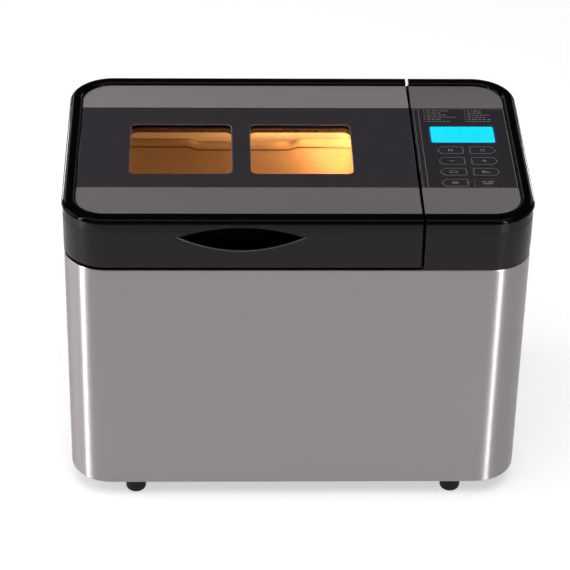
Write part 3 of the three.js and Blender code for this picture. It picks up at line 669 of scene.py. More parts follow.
def add_world():
    """A surround that is white where it is seen directly; elsewhere it is dark above a pale horizon.

    Its strength falls from 0.55 at a direction's height of 0 to 0.05 at a height of 0.35.
    """
    world = bpy.data.worlds.new("studio")
    world.use_nodes = True
    tree = world.node_tree
    ambient = tree.nodes["Background"]
    ambient.inputs["Color"].default_value = (1.0, 0.98, 0.99, 1)
    place = added(tree, "TexCoord")
    parts = added(tree, "SeparateXYZ")
    fall = added(tree, "MapRange", From_Max=0.35, To_Min=0.55, To_Max=0.05)
    fall.interpolation_type = "SMOOTHSTEP"
    tree.links.new(place.outputs["Generated"], parts.inputs[0])
    tree.links.new(parts.outputs["Z"], fall.inputs["Value"])
    tree.links.new(fall.outputs["Result"], ambient.inputs["Strength"])
    backdrop = added(tree, "Background", Color=(1, 1, 1, 1), Strength=1.0)
    chooser = added(tree, "MixShader")
    path = added(tree, "LightPath")
    output = tree.nodes["World Output"]
    tree.links.new(path.outputs["Is Camera Ray"], chooser.inputs[0])
    tree.links.new(ambient.outputs[0], chooser.inputs[1])
    tree.links.new(backdrop.outputs[0], chooser.inputs[2])
    tree.links.new(chooser.outputs[0], output.inputs["Surface"])
    bpy.context.scene.world = world


class BreadMachineStage(bpy.types.Operator):
    """Adds the camera, the surround, the floor and the lights"""

    bl_idname = "bread_machine.stage"
    bl_label = "Stage"

    def execute(self, context):
        context.scene.view_settings.view_transform = "Standard"
        add_camera()
        add_world()
        look = context.scene.bread_machine_finish
        floor_mesh = bpy.data.meshes.new("floor")
        reach = 6.0
        corners = [(-reach, -reach, 0), (reach, -reach, 0), (reach, reach, 0), (-reach, reach, 0)]
        floor_mesh.from_pydata(corners, [], [(0, 1, 2, 3)])
        floor_mesh.materials.append(
            finish("floor_white", (0.6, 0.6, 0.6), 0.16, grain=(3, 3, 3), tone=0.005, haze=0.02, relief=0.0,
                   IOR=1.4, Emission_Color=(0.99, 0.985, 0.99, 1), Emission_Strength=0.6))
        floor = bpy.data.objects.new("floor", floor_mesh)
        context.scene.collection.objects.link(floor)
        aim = (0, 0, 0.15)
        white = (1, 1, 1)
        add_light("overhead", "AREA", (0, -0.5, 2.6), (0, 0, 0), 66, white, (3.2, 2.6))
        add_light("left_strip", "AREA", (-1.53, -0.73, 0.7), aim, 32, white, (0.16, 1.4), "gloss")
        add_light("right_strip", "AREA", (1.01, -1.35, 0.7), aim, 22, white, (0.14, 1.4), "gloss")
        add_light("left_fill", "AREA", (-2.3, 0.2, 1.0), aim, 22, white, (1.4, 1.6))
        add_light("rear_left", "AREA", (-1.3, 1.64, 0.35), aim, 10, white, (0.3, 0.2), "gloss")
        add_light("rear_right", "AREA", (1.35, 1.6, 0.25), aim, 8, white, (0.3, 0.2), "gloss")
        add_light("left_panel", "AREA", (-0.97, 1.95, 1.26), aim, 6, white, (0.7, 0.7), "gloss")
        add_light("right_panel", "AREA", (1.23, 2.1, 1.37), aim, 6, white, (0.7, 0.7), "gloss")
        glow = tuple(look.lamp)
        add_light("chamber_lamp", "POINT", (0.062, 0.048, 0.255), aim, look.lamp_power, glow, 0.006)
        return {"FINISHED"}


# ---------------------------------------------------------------- body
def vent_cells(run, z_rows, slots):
    """Grid cells of the wrap that lie inside a vent slot, as a mask over its quads."""
    path, _ = run
    following = np.roll(path, -1, 0)
    middle = (path + following) / 2
    z_middle = (z_rows[:-1] + z_rows[1:]) / 2
    hit = np.zeros((len(path), len(z_middle)), bool)
    for x0, x1, z0, z1 in slots:
        across = (middle[:, 0] > x0) & (middle[:, 0] < x1) & (middle[:, 1] > 0)
        up = (z_middle > z0) & (z_middle < z1)
        hit |= across[:, None] & up[None]
    return hit


def vent_slots():
    """Two rows of eight upright slots in the back of the electronics bay."""
    return [(x, x + 3.2, z, z + 26) for z in (120, 160) for x in 94 + 8 * np.arange(8)]


class BreadMachineBody(bpy.types.Operator):
    """Adds the brushed steel skin with its vents, hems and screws"""

    bl_idname = "bread_machine.body"
    bl_label = "Body"

    def execute(self, context):
        steps = context.scene.bread_machine_sizes.corner_steps
        path, normals = rim_run("all", steps=steps)
        slots = vent_slots()
        stops = np.sort([x for slot in slots[:8] for x in slot[:2]])
        back = np.column_stack([stops, np.full(len(stops), RIM_Y[1])])
        seam = 2 * (steps + 1)
        path = np.vstack([path[:seam], back, path[seam:]])
        normals = np.vstack([normals[:seam], np.tile([0, 1], (len(stops), 1)), normals[seam:]])
        edges = [z for slot in slots for z in slot[2:]]
        low, high = WRAP_Z
        hem = np.array([0, 0.25, 0.6])
        z = np.unique(np.concatenate([low + hem, np.linspace(low + 1, high - 1, 14), edges, high - hem]))
        fold = np.clip(1 - np.minimum(z - low, high - z) / 0.6, 0, 1)
        out = -SKIN_INSET - 0.35 * fold**2
        points, faces = swept((path, normals), out, z)
        quads = faces[0][~vent_cells((path, normals), z, slots).reshape(-1)]
        piece("steel_wrap", (points, [quads]), wall_steel(), "machine", ("body_wrap",),
              thickness=SHEET, seal=False)
        back_y = RIM_Y[1] - SKIN_INSET
        spots = [(x, z) for x in (-150, -60, 60, 150) for z in (26, 216)]
        heads = together(*(screw((x, back_y, z)) for x, z in spots))
        piece("wrap_screws", heads, bare_steel(), "machine")
        plate = slab(rounded((-45, 45), (70, 110), 3)[0], (0, 0.5), edge=0.3)
        turn = [[1, 0, 0], [0, 0, 1], [0, 1, 0]]
        piece("blank_plate", moved(plate, (0, back_y + 0.05, 0), turn), top_steel(), "machine")
        return {"FINISHED"}


class BreadMachineBase(bpy.types.Operator):
    """Adds the feet and finishes the base tray and the cord gland"""

    bl_idname = "bread_machine.base"
    bl_label = "Base"

    def execute(self, context):
        for node in ("foot_front_left", "foot_front_right", "foot_rear_left", "foot_rear_right"):
            x, y, z = spans(node)
            radius = (x[1] - x[0]) / 2
            flat = radius - 3.4
            shoulder = WRAP_Z[0] - 0.1
            a = np.radians(np.linspace(0, 90, 9))
            curve = np.column_stack([flat + 3.4 * np.sin(a), 3.4 * (1 - np.cos(a))])
            profile = np.vstack([[[0, 0.5], [2.2, 0.5], [2.6, 0]], curve,
                                 [[radius, shoulder], [3, shoulder], [3, z[1]], [0, z[1]]]])
            piece(f"{node}_rubber", turned(profile, (sum(x) / 2, sum(y) / 2)), rubber(), "machine", (node,))
        coat(charcoal(), "base_tray")
        coat(rubber(), "cord_gland")
        return {"FINISHED"}


class BreadMachineDeck(bpy.types.Operator):
    """Adds the deck round the chamber's mouth with its lugs and seal"""

    bl_idname = "bread_machine.deck"
    bl_label = "Deck"

    def execute(self, context):
        path, _ = rim_run("all")
        low = WRAP_Z[1] + 0.3
        top = 232.4
        recess = 4.5
        outer = inset_path(path, recess)
        outer = outer[outer[:, 0] < 108]
        outer = np.vstack([outer, [[110, RIM_Y[1] - recess], [110, RIM_Y[0] + recess]]])
        mouth = grown(*spans("oven_chamber")[:2], -2.8)
        ridge_run = rounded(*mouth, 12)
        plate, faces = slab(outer, (low, top), (ridge_run[0],), edge=0.5)
        plate[:, 2] -= 1.6 * np.clip((plate[:, 1] - 84) / 26, 0, 1)
        flange = together((plate, faces), seam_wall(-1, 99.5, (2.2, 4.8), (226, low + 0.2)))
        a = np.radians(np.linspace(0, 180, 9))
        ridge_out = np.concatenate([[0], 1 - np.cos(a), [2]])
        ridge_z = np.concatenate([[top - 1], 234 + np.sin(a), [top - 1]])
        ridge = swept(ridge_run, ridge_out, ridge_z, ring=True)
        head = arc((HINGE_Y, HINGE_Z), 5, 0, 180, 16)
        outline = np.vstack([[[HINGE_Y + 5, top - 2]], head, [[HINGE_Y - 5, top - 2]]])
        lug = slab(outline, (-4, 4), (circle((HINGE_Y, HINGE_Z), PIN_BORE, 24),), edge=0.4)
        lugs = [moved(lug, (hinge, 0, 0), SIDEWAYS) for hinge in HINGE_X]
        piece("deck", together(flange, ridge, *lugs), charcoal(), "machine", ("deck_frame",))
        loop = rounded(*grown(*mouth, 5), 17)[0]
        seal = tube(np.column_stack([loop, np.full(len(loop), 232.9)]), 1.2, closed=True)
        piece("mouth_seal", seal, rubber(), "machine")
        coat(bare_steel(), "hinge_pin_left", "hinge_pin_right")
        return {"FINISHED"}


def inset_path(path, distance):
    """A clockwise plan path moved inwards by distance."""
    return inset_loop(path[::-1], -distance)[::-1]


def seam_wall(side, end, depths, z):
    """An upright wall behind a seam, standing in from the rim by two depths; side is -1 or 1 of X = end."""
    loops = []
    for step, depth in enumerate(depths):
        path = inset_path(rim_run("all")[0], depth)
        path = path[path[:, 0] * side > end * side]
        low, high = path[:, 1].min(), path[:, 1].max()
        corners = [[end + 2 * side * step, y] for y in (low, high)[::side]]
        loops.append(np.vstack([path, corners]))
    return slab(loops[0], z, (loops[1],), edge=0)


# ---------------------------------------------------------------- lid and control covers
def skirt_out(z):
    """Outward offset of a skirt at height z: level, a small step at SKIRT_LINE, leaning in above it."""
    above = z - SKIRT_LINE
    lean = SKIRT_LEAN * np.clip(above / (SKIRT_Z[1] - SKIRT_LINE), 0, 1)
    step = SKIRT_STEP * np.clip(above / 0.2, 0, 1)
    hem = np.clip(1 - (z - SKIRT_Z[0]) / 0.7, 0, 1)
    crown = np.clip(1 - (SKIRT_Z[1] - z) / 0.8, 0, 1)
    return -SKIN_INSET - lean - step - 0.5 * hem**2 - 0.8 * crown**2


def grip_edges(x):
    """Lower and upper edge of the finger grip's lens at places x: parabolas through its tips."""
    bulge = np.clip(1 - ((x - GRIP_X) / GRIP_HALF) ** 2, 0, 1)
    return GRIP_TIP - (GRIP_TIP - GRIP_BOTTOM) * bulge, GRIP_TIP + (GRIP_TOP - GRIP_TIP) * bulge


def top_loops(part, inset):
    """The plan outline of a part's top plate, standing in from the rim by inset."""
    path, normals = rim_run(part)
    return path - normals * inset


def under_hinge(shape):
    """Draws in a skirt's rear wall below the hinge line, onto a circle about the hinge: y is at most
    HINGE_Y + sqrt(HINGE_TURN squared - (HINGE_Z - z) squared); it leaves a notch round each lug.
    """
    points, (faces,) = shape
    drop = np.clip(HINGE_Z - points[:, 2], 0, HINGE_TURN)
    limit = np.where(drop > 0, HINGE_Y + np.sqrt(HINGE_TURN**2 - drop**2), 1000)
    points = np.column_stack([points[:, 0], np.minimum(points[:, 1], limit), points[:, 2]])
    centre = points[faces].mean(axis=1)
    beside = np.abs(centre[:, :1] - np.array(HINGE_X)).min(axis=1) < 4.8
    notch = beside & (centre[:, 1] > 100) & (centre[:, 2] < HINGE_Z + 8)
    return points, [faces[~notch]]


def end_wall(x0, x1, bottom, hinged=False):
    """The upright wall that closes a cover next to the gap, following the skirt's section."""
    z = np.array([bottom, SKIRT_LINE, SKIRT_Z[1]])
    half = RIM_Y[1] + skirt_out(z) - 0.4
    rear = np.column_stack([half, z])
    if hinged:
        rear = np.vstack([arc((HINGE_Y, HINGE_Z), HINGE_TURN - 0.5, -90, 0, 8), rear[1:]])
    outline = np.vstack([rear, np.column_stack([-half, z])[::-1]])
    return moved(slab(outline, (x0, x1), edge=0.3), turn=SIDEWAYS)


class BreadMachineLid(bpy.types.Operator):
    """Adds the lid's cover, bead, steel strips, smoked sheet, panes and finger grip"""

    bl_idname = "bread_machine.lid"
    bl_label = "Lid"

    def execute(self, context):
        self.cover()
        self.grip()
        self.top(context)
        coat(clear_glass("window_pane", (1.0, 0.9, 0.8)), "window_glass", "inner_glass")
        return {"FINISHED"}

    def cover(self):
        stops = GRIP_X + GRIP_HALF * np.linspace(-1, 1, 49)
        rear_stops = np.add.outer(HINGE_X, (-4.8, 4.8)).ravel()
        path, normals = rim_run("lid", stops, rear_stops=rear_stops)
        on_front = normals[:, 1] < -0.999
        low, high = grip_edges(np.where(on_front, path[:, 0], GRIP_X + GRIP_HALF))
        base = SKIRT_Z[0]
        hem = base + np.array([0, 0.2, 0.45, 0.8])
        share = np.linspace(0, 1, 8)[1:]
        lower = np.hstack([np.tile(hem, (len(path), 1)), hem[-1] + np.outer(low - hem[-1], share)])
        crease = np.maximum(SKIRT_LINE, high + 0.3)
        share = np.linspace(0, 1, 4)
        middle = high[:, None] + np.outer(crease - high, share)
        brow = SKIRT_Z[1] - 0.9
        brow_rows = crease[:, None] + np.outer(brow - crease, np.array([0, 0.3, 1.0]))
        brow_rows[:, 0] += 0.2
        crown = np.tile(SKIRT_Z[1] - np.array([0.5, 0.2, 0.0]), (len(path), 1))
        upper = np.hstack([middle, brow_rows, crown])
        skirt = together(under_hinge(swept((path, normals), skirt_out(lower), lower, closed=False)),
                         swept((path, normals), skirt_out(upper), upper, closed=False))
        piece("lid_skirt", skirt, charcoal(), "lid", ("lid_shell",), thickness=MOULDING,
              seal=False)
        holes = [rounded(*grown(x, WINDOW_Y, 0.5), 7)[0] for x in WINDOW_X]
        plate = slab(top_loops("lid", 4.0), (270.6, 271.6), holes, edge=0.35)
        wall = end_wall(LID_RIGHT - MOULDING, LID_RIGHT, SKIRT_Z[0], hinged=True)
        rib = slab(rounded((101, 112), (236, 271), 1.5)[0], (-2, 2),
                   (circle((HINGE_Y, HINGE_Z), PIN_BORE, 24),), edge=0.3)
        ribs = [moved(rib, (hinge + aside, 0, 0), SIDEWAYS) for hinge in HINGE_X for aside in (-7, 7)]
        piece("lid_frame", together(plate, wall, *ribs), charcoal(), "lid")

    def grip(self):
        """The scoop narrows with depth v as 1 - 0.3 v squared while its depth follows sin(90 v)."""
        t = np.linspace(-1, 1, 41)
        x = GRIP_X + (GRIP_HALF + 1.0) * t
        low, high = grip_edges(GRIP_X + GRIP_HALF * t)
        lens = np.vstack([np.column_stack([x, low - 0.6]), np.column_stack([x, high + 0.6])[::-1][1:-1]])
        v = np.linspace(0, 1, 14)[:, None]
        shrink = 1 - 0.3 * v**2
        front = RIM_Y[0] + SKIN_INSET + MOULDING + 0.2
        depth = front + 17.5 * np.sin(v * math.pi / 2)
        middle = (GRIP_X, GRIP_TIP - 2)
        px = middle[0] + (lens[:, 0] - middle[0]) * shrink
        pz = middle[1] + (lens[:, 1] - middle[1]) * (1 - 0.55 * v**3)
        points = np.dstack([px, np.broadcast_to(depth, px.shape), pz]).reshape(-1, 3)
        columns = len(lens)
        faces = [grid_faces(len(v), columns, close_columns=True)]
        faces.append(np.arange(columns)[None] + (len(v) - 1) * columns)
        dull = finish("grip_black", (0.0006, 0.0005, 0.0006), 0.6, grain=(300, 300, 300), tone=0.2,
                      Specular_IOR_Level=0.02)
        piece("finger_grip", (points, faces), dull, "lid", ("handle_cup",), thickness=1.0,
              seal=False)
        # The grip's lower lip: a thin bar in a much lighter colour than the grip and mouldings, a painted
        # highlight along the lip.
        lip_x = GRIP_X + GRIP_HALF * np.linspace(-1, 1, 61)
        lip_low, _ = grip_edges(lip_x)
        y = RIM_Y[0] + SKIN_INSET + 0.1
        lip = tube(np.column_stack([lip_x, np.full(61, y), lip_low + 0.2]), 0.4, up=(0, 1, 0), sides=10)
        lip_highlight_finish = finish("lip_painted_highlight", (0.09, 0.078, 0.084), 0.3, grain=(300, 300, 300))
        piece("grip_lip", lip, lip_highlight_finish, "lid")

    def top(self, context):
        round_mm = context.scene.bread_machine_sizes.bead_round / MM
        piece("lid_bead", bead("lid", round_mm), gloss_black(), "lid", ("lid_rim",))
        # Painted light: the lid's rear strip is coloured lighter and its front strip darker.
        for end, painted_light_level in (("front", 0.88), ("rear", 1.36)):
            node = f"lid_trim_{end}"
            piece(f"lid_strip_{end}", strip(node, "lid", end), top_steel(painted_light_level), "lid", (node,))
        x = span("window_panel", 0)
        windows = [rounded(wx, WINDOW_Y, WINDOW_ROUND)[0] for wx in WINDOW_X]
        sheet = slab(rounded(x, BAND_Y, 0)[0], PLATE_Z, windows, edge=0.35)
        piece("smoked_sheet", sheet, smoked(), "lid", ("window_panel",))
        out = np.array([0, 0, -1.3, -1.6, -1.6, -1.3])
        height = np.array([266.5, 270.6, 270.6, 270.2, 266.8, 266.5])
        wells = [swept(rounded(*grown(wx, WINDOW_Y, 2.0), 8.5), out, height, ring=True) for wx in WINDOW_X]
        piece("window_wells", together(*wells), well_plastic(), "lid")
        # Each window's edge gets a thin ring in a lighter colour than the smoked sheet: a painted highlight
        # for the edge catching the light.
        edges = []
        for wx in WINDOW_X:
            loop = rounded(*grown(wx, WINDOW_Y, -0.05), WINDOW_ROUND)[0][::-1]
            edges.append(slab(loop, (274.5, 275.3), (inset_loop(loop, -0.4),), edge=0))
        piece("window_edge_highlights", together(*edges), finish("edge_painted_highlight", (0.09, 0.075, 0.09), 0.3), "lid")


def well_plastic():
    return finish("well_plastic", (0.05, 0.016, 0.01), 0.3, grain=(300, 300, 300), tone=0.15)


def bead(part, radius):
    """The rim bead: a flat-bottomed section with quarter-round shoulders and a slight crown."""
    low, high = RIM_Z
    outer = arc((-radius, high - radius), radius, 0, 90, 8)
    inner = arc((-RIM_WIDTH + radius, high - radius), radius, 90, 180, 8)
    flat = np.linspace(-radius, radius - RIM_WIDTH, 9)[1:-1]
    top = np.column_stack([flat, 0 * flat + high])
    section = np.vstack([[[0, low]], outer, top, inner, [[-RIM_WIDTH, low]]])
    rise = 0.8
    crown = rise * (1 - ((section[:, 0] + RIM_WIDTH / 2) / (RIM_WIDTH / 2)) ** 2)
    z = section[:, 1] - rise + np.clip(crown, 0, rise)
    z[[0, -1]] = low
    path, normals = rim_run(part, steps=32)
    deeper = FRONT_DEEPER * np.clip(-normals[:, 1:2], 0, 1)
    out = section[None, :, 0] - deeper * (section[None, :, 0] < -RIM_WIDTH / 2)
    return swept((path, normals), out, np.tile(z, (len(path), 1)), closed=False, ring=True, capped=True)


def strip(node, part, end):
    """A steel strip: a rectangle whose outer corner follows the rim."""
    x, y = span(node, 0), span(node, 1)
    y = (y[0] + FRONT_DEEPER, y[1]) if end == "front" else y
    radius = CORNER - PLATE_INSET
    corner = {("control", "rear"): 0, ("control", "front"): 1, ("lid", "front"): 2, ("lid", "rear"): 3}
    radii = [0.0] * 4
    radii[corner[part, end]] = radius
    return slab(rounded(x, y, radii, 20)[0], PLATE_Z, edge=0.3)


class BreadMachineLidUnderside(bpy.types.Operator):
    """Adds the pressed liner under the lid with its vents and screws"""

    bl_idname = "bread_machine.lid_underside"
    bl_label = "Lid underside"

    def execute(self, context):
        x, y, z = spans("lid_liner")
        bend = 5.0
        a = np.radians(np.linspace(0, 90, 7))
        out = np.concatenate([[0.0, 0.0], bend * np.cos(a) - bend, [-10]])
        height = np.concatenate([[z[0], z[0] + 2], z[1] - bend + bend * np.sin(a), [z[1]]])
        run = rounded(x, y, 12)
        skirt = swept(run, out, height)
        piece("liner_skirt", skirt, chamber_sheet(), "lid", ("lid_liner",), thickness=1.0,
              seal=False)
        window = rounded((-139, 49), (-44, 47), 6)[0]
        vents = [rounded((x0, x0 + 16), (58, 61.5), 1.7, 6)[0] for x0 in -130 + 26 * np.arange(7)]
        roof = rounded(*grown(x, y, -9.5), 4)[0]
        piece("liner_roof", slab(roof, (z[1] - 1, z[1]), [window, *vents], edge=0.2), chamber_sheet(),
              "lid")
        spots = [(sx, sy) for sx in (-162, 70) for sy in (-66, 66)]
        profile = [(0, 0.3), (2.6, 0.3), (3.0, 0.9), (3.0, 1.6), (0, 1.6)]
        heads = together(*(moved(turned(profile, steps=20), (sx, sy, z[1] - 3.2)) for sx, sy in spots))
        piece("liner_screws", heads, bare_steel(), "lid")
        return {"FINISHED"}


# ---------------------------------------------------------------- control panel
def bars(rectangles, z):
    """Thin printed bars, each (x0, x1, y0, y1), standing a hair above height z."""
    return together(*(slab(rounded(r[:2], r[2:], 0)[0], (z, z + INK_HEIGHT), edge=0) for r in rectangles))


def ring(outline, width, z):
    """A printed line of a given width just inside a closed outline."""
    loop = without_repeats(outline)
    loop = loop if signed_area(loop) > 0 else loop[::-1]
    return slab(loop, (z, z + INK_HEIGHT), (inset_loop(loop, -width),), edge=0)


class BreadMachinePanel(bpy.types.Operator):
    """Adds the control cover, bead, steel strips, printed sheet and display"""

    bl_idname = "bread_machine.panel"
    bl_label = "Control panel"

    def execute(self, context):
        round_mm = context.scene.bread_machine_sizes.bead_round / MM
        run = rim_run("control")
        low = span("control_housing", 2)[0]
        z = np.concatenate([low + np.array([0, 0.2, 0.5]), np.linspace(low + 1, SKIRT_LINE, 6),
                            [SKIRT_LINE + 0.2], np.linspace(SKIRT_LINE + 2, SKIRT_Z[1] - 0.9, 4),
                            SKIRT_Z[1] - np.array([0.5, 0.2, 0])])
        piece("control_skirt", swept(run, skirt_out(z), z, closed=False), charcoal(), "machine",
              ("control_housing",), thickness=MOULDING, seal=False)
        window = rounded((110, 171), (-63, 38.5), 1)[0]
        plate = slab(top_loops("control", 4.0), (271.2, 272.2), [window], edge=0.2)
        wall = end_wall(CONTROL_LEFT, CONTROL_LEFT + MOULDING, 232.8)
        tab = slab(rounded((98.5, 100.4), (103, 111), 0)[0], (233, 271.5), edge=0)
        backing = seam_wall(1, 104, (3.4, 4.4), (224, 236))
        piece("control_frame", together(plate, wall, tab, backing), charcoal(), "machine")
        piece("control_bead", bead("control", round_mm), gloss_black(), "machine", ("control_rim",))
        # Painted light: both control strips use the darker copy of the steel.
        for end, node in (("front", "control_trim_front"), ("rear", "control_trim_rear")):
            piece(f"control_strip_{end}", strip(node, "control", end), top_steel(0.88), "machine", (node,))
        self.sheet()
        self.display(context)
        coat(board_green(), "control_board")
        return {"FINISHED"}

    def sheet(self):
        x, y = span("control_overlay", 0), span("control_overlay", 1)
        holes = [rounded(*display_area(), 2.2)[0]]
        holes += [key_outline(row, column, 0.0) for row in range(4) for column in (0, 1)]
        piece("panel_sheet", slab(rounded(x, y, 0)[0], PLATE_Z, holes, edge=0.25), panel_film(), "machine",
              ("control_overlay",))
        top = PLATE_Z[1]
        line_x = x[0] + 5.2
        printed = [
            (line_x, line_x + 0.4, y[0] + 1, y[1] - 1.5),
            (x[0] + 1.2, x[0] + 1.5, y[0] + 0.5, y[1] - 0.5),
            (x[0] + 1.5, x[1] - 0.9, y[1] - 1.9, y[1] - 1.5),
            (x[1] - 0.9, x[1] - 0.5, y[0] + 0.5, y[1] - 1.5),
        ]
        dice = np.random.default_rng(7)
        for left, width in ((110.0, 26.0), (144.5, 24.0)):
            for row in range(6):
                line_y = y[1] - 5.6 - 3.5 * row
                printed.append((left, left + 0.9, line_y, line_y + 1.1))
                place = left + 2.4
                end = left + width * dice.uniform(0.45, 1.0)
                while place < end:
                    word = dice.uniform(1.4, 4.2)
                    printed.append((place, place + word, line_y + 0.1, line_y + 1.0))
                    place += word + 0.9
        piece("panel_print", bars(printed, top + 0.01), print_ink(), "machine")

    def display(self, context):
        look = context.scene.bread_machine_finish
        x, y = display_area()
        outer = rounded(*grown(x, y, -0.3), 2)[0]
        face = rounded((x[0] + 1.3, x[1] - 1.1), (y[0] + 2.0, y[1] - 0.8), 1.6)[0]
        bezel = slab(outer, (270.0, 275.2), (face,), edge=0.3)
        body = slab(rounded((111, 170), (6.8, 38), 1)[0], (266.0, 273.6), edge=0.4)
        piece("display_bezel", together(bezel, body), lit("display_border", (0.0, 0.03, 0.28), 0.55),
              "machine", ("display",))
        glass = slab(face, (273.7, 275.0), edge=0.15)
        piece("display_face", glass, lit("display_glow", tuple(look.display), 1.0), "machine")
        digits = seven_segments("0312", (x[0] + 14.5, y[0] + 8.8), 7.5, 12.5, 0.9)
        piece("display_digits", bars(digits, 275.0), lit("display_segment", (0.0, 0.68, 0.87), 1.0),
              "machine")


def display_area():
    """The display's opening in the panel sheet: its X and Y spans."""
    return (112.3, 167.7), (8.2, 37.0)


def seven_segments(digits, corner, width, height, line):
    """Bars for each digit: three level strokes and four upright ones, switched by the digit."""
    lit_strokes = {"0": "abcdef", "1": "bc", "2": "abged", "3": "abgcd"}
    strokes = []
    for place, digit in enumerate(digits):
        x0 = corner[0] + place * width
        x1, y0 = x0 + width - 2.6, corner[1]
        half, y1 = y0 + height / 2, y0 + height
        table = {
            "a": (x0, x1, y1 - line, y1), "g": (x0, x1, half - line / 2, half + line / 2),
            "d": (x0, x1, y0, y0 + line), "f": (x0, x0 + line, half, y1), "b": (x1 - line, x1, half, y1),
            "e": (x0, x0 + line, y0, half), "c": (x1 - line, x1, y0, half),
        }
        strokes += [table[s] for s in lit_strokes[digit]]
    return strokes


def key_box(row, column):
    """The X and Y spans of a key's opening, from its node less the hidden flange."""
    return grown(*spans(KEY_NODES[row][column])[:2], -0.9)


def key_outline(row, column, grow):
    """A key's outline: one end half-round, the other with small corners."""
    x, y = grown(*key_box(row, column), grow)
    end = (y[1] - y[0]) / 2 - 0.2
    radii = [1.0, 1.0, end, end] if column == 0 else [end, end, 1.0, 1.0]
    return rounded(x, y, radii, 10)[0]


def key_sign(row, column, z):
    """A plain sign for each key, drawn with bars and rings about the key's middle."""
    x, y = key_box(row, column)
    cx, cy = sum(x) / 2, sum(y) / 2

    def bar(x0, x1, y0, y1):
        return bars([(cx + x0, cx + x1, cy + y0, cy + y1)], z)

    crust = (cx - 3.4, cx + 3.4), (cy - 1.6, cy + 1.8), [1.6, 0.5, 0.5, 1.6]
    signs = {
        (0, 0): lambda: together(bar(-1.8, -0.6, -1.7, 1.7), bar(0.6, 1.8, -1.7, 1.7)),
        (0, 1): lambda: ring(circle((cx, cy), 2.0, 28), 0.5, z),
        (1, 0): lambda: bar(-2.2, 2.2, -0.4, 0.4),
        (1, 1): lambda: together(bar(-2.2, 2.2, -0.4, 0.4), bar(-0.4, 0.4, 0.4, 2.2),
                                 bar(-0.4, 0.4, -2.2, -0.4)),
        (2, 0): lambda: ring(rounded(*crust)[0], 0.5, z),
        (2, 1): lambda: together(bar(-3.4, -1.6, -1.6, 1.6), bar(-0.9, 0.9, -1.6, 0.6),
                                 bar(1.6, 3.4, -1.6, -0.4)),
        (3, 0): lambda: together(*(bar(-2.8, 2.8, h - 0.3, h + 0.3) for h in (-1.5, 0, 1.5))),
        (3, 1): lambda: together(bar(-5, -1.4, 0.9, 2.1), bar(-0.4, 5, 0.9, 2.1), bar(-4, 4, -2.1, -0.9)),
    }
    return signs[row, column]()


class BreadMachineKeys(bpy.types.Operator):
    """Adds the eight keys with their printed outlines and signs"""

    bl_idname = "bread_machine.keys"
    bl_label = "Keys"

    def execute(self, context):
        edge = context.scene.bread_machine_sizes.key_edge / MM
        for row in range(4):
            for column in (0, 1):
                node = KEY_NODES[row][column]
                body = node.replace("key_", "") + "_key"
                z = span(node, 2)
                x, y = key_box(row, column)
                cx, cy = sum(x) / 2, sum(y) / 2
                cap = slab(key_outline(row, column, -0.3), (272.6, z[1]), edge=edge, rings=4)
                flange = slab(key_outline(row, column, 0.8), (272.4, 273.6), edge=0.3)
                stem = slab(rounded((cx - 3, cx + 3), (cy - 3, cy + 3), 0.5)[0], (z[0], 272.8), edge=0.2)
                piece(f"{node}_cap", together(cap, flange, stem), panel_film(), body, (node,))
                marks = [key_sign(row, column, z[1] + 0.01)]
                if (row, column) != (3, 1):
                    marks.append(ring(key_outline(row, column, -1.0), 0.35, z[1] + 0.01))
                piece(f"{node}_print", together(*marks), print_ink(), body)
        return {"FINISHED"}


def board_green():
    return finish("circuit_board", (0.03, 0.12, 0.05), 0.45, grain=(160, 160, 160), tone=0.4, detail=8.0)


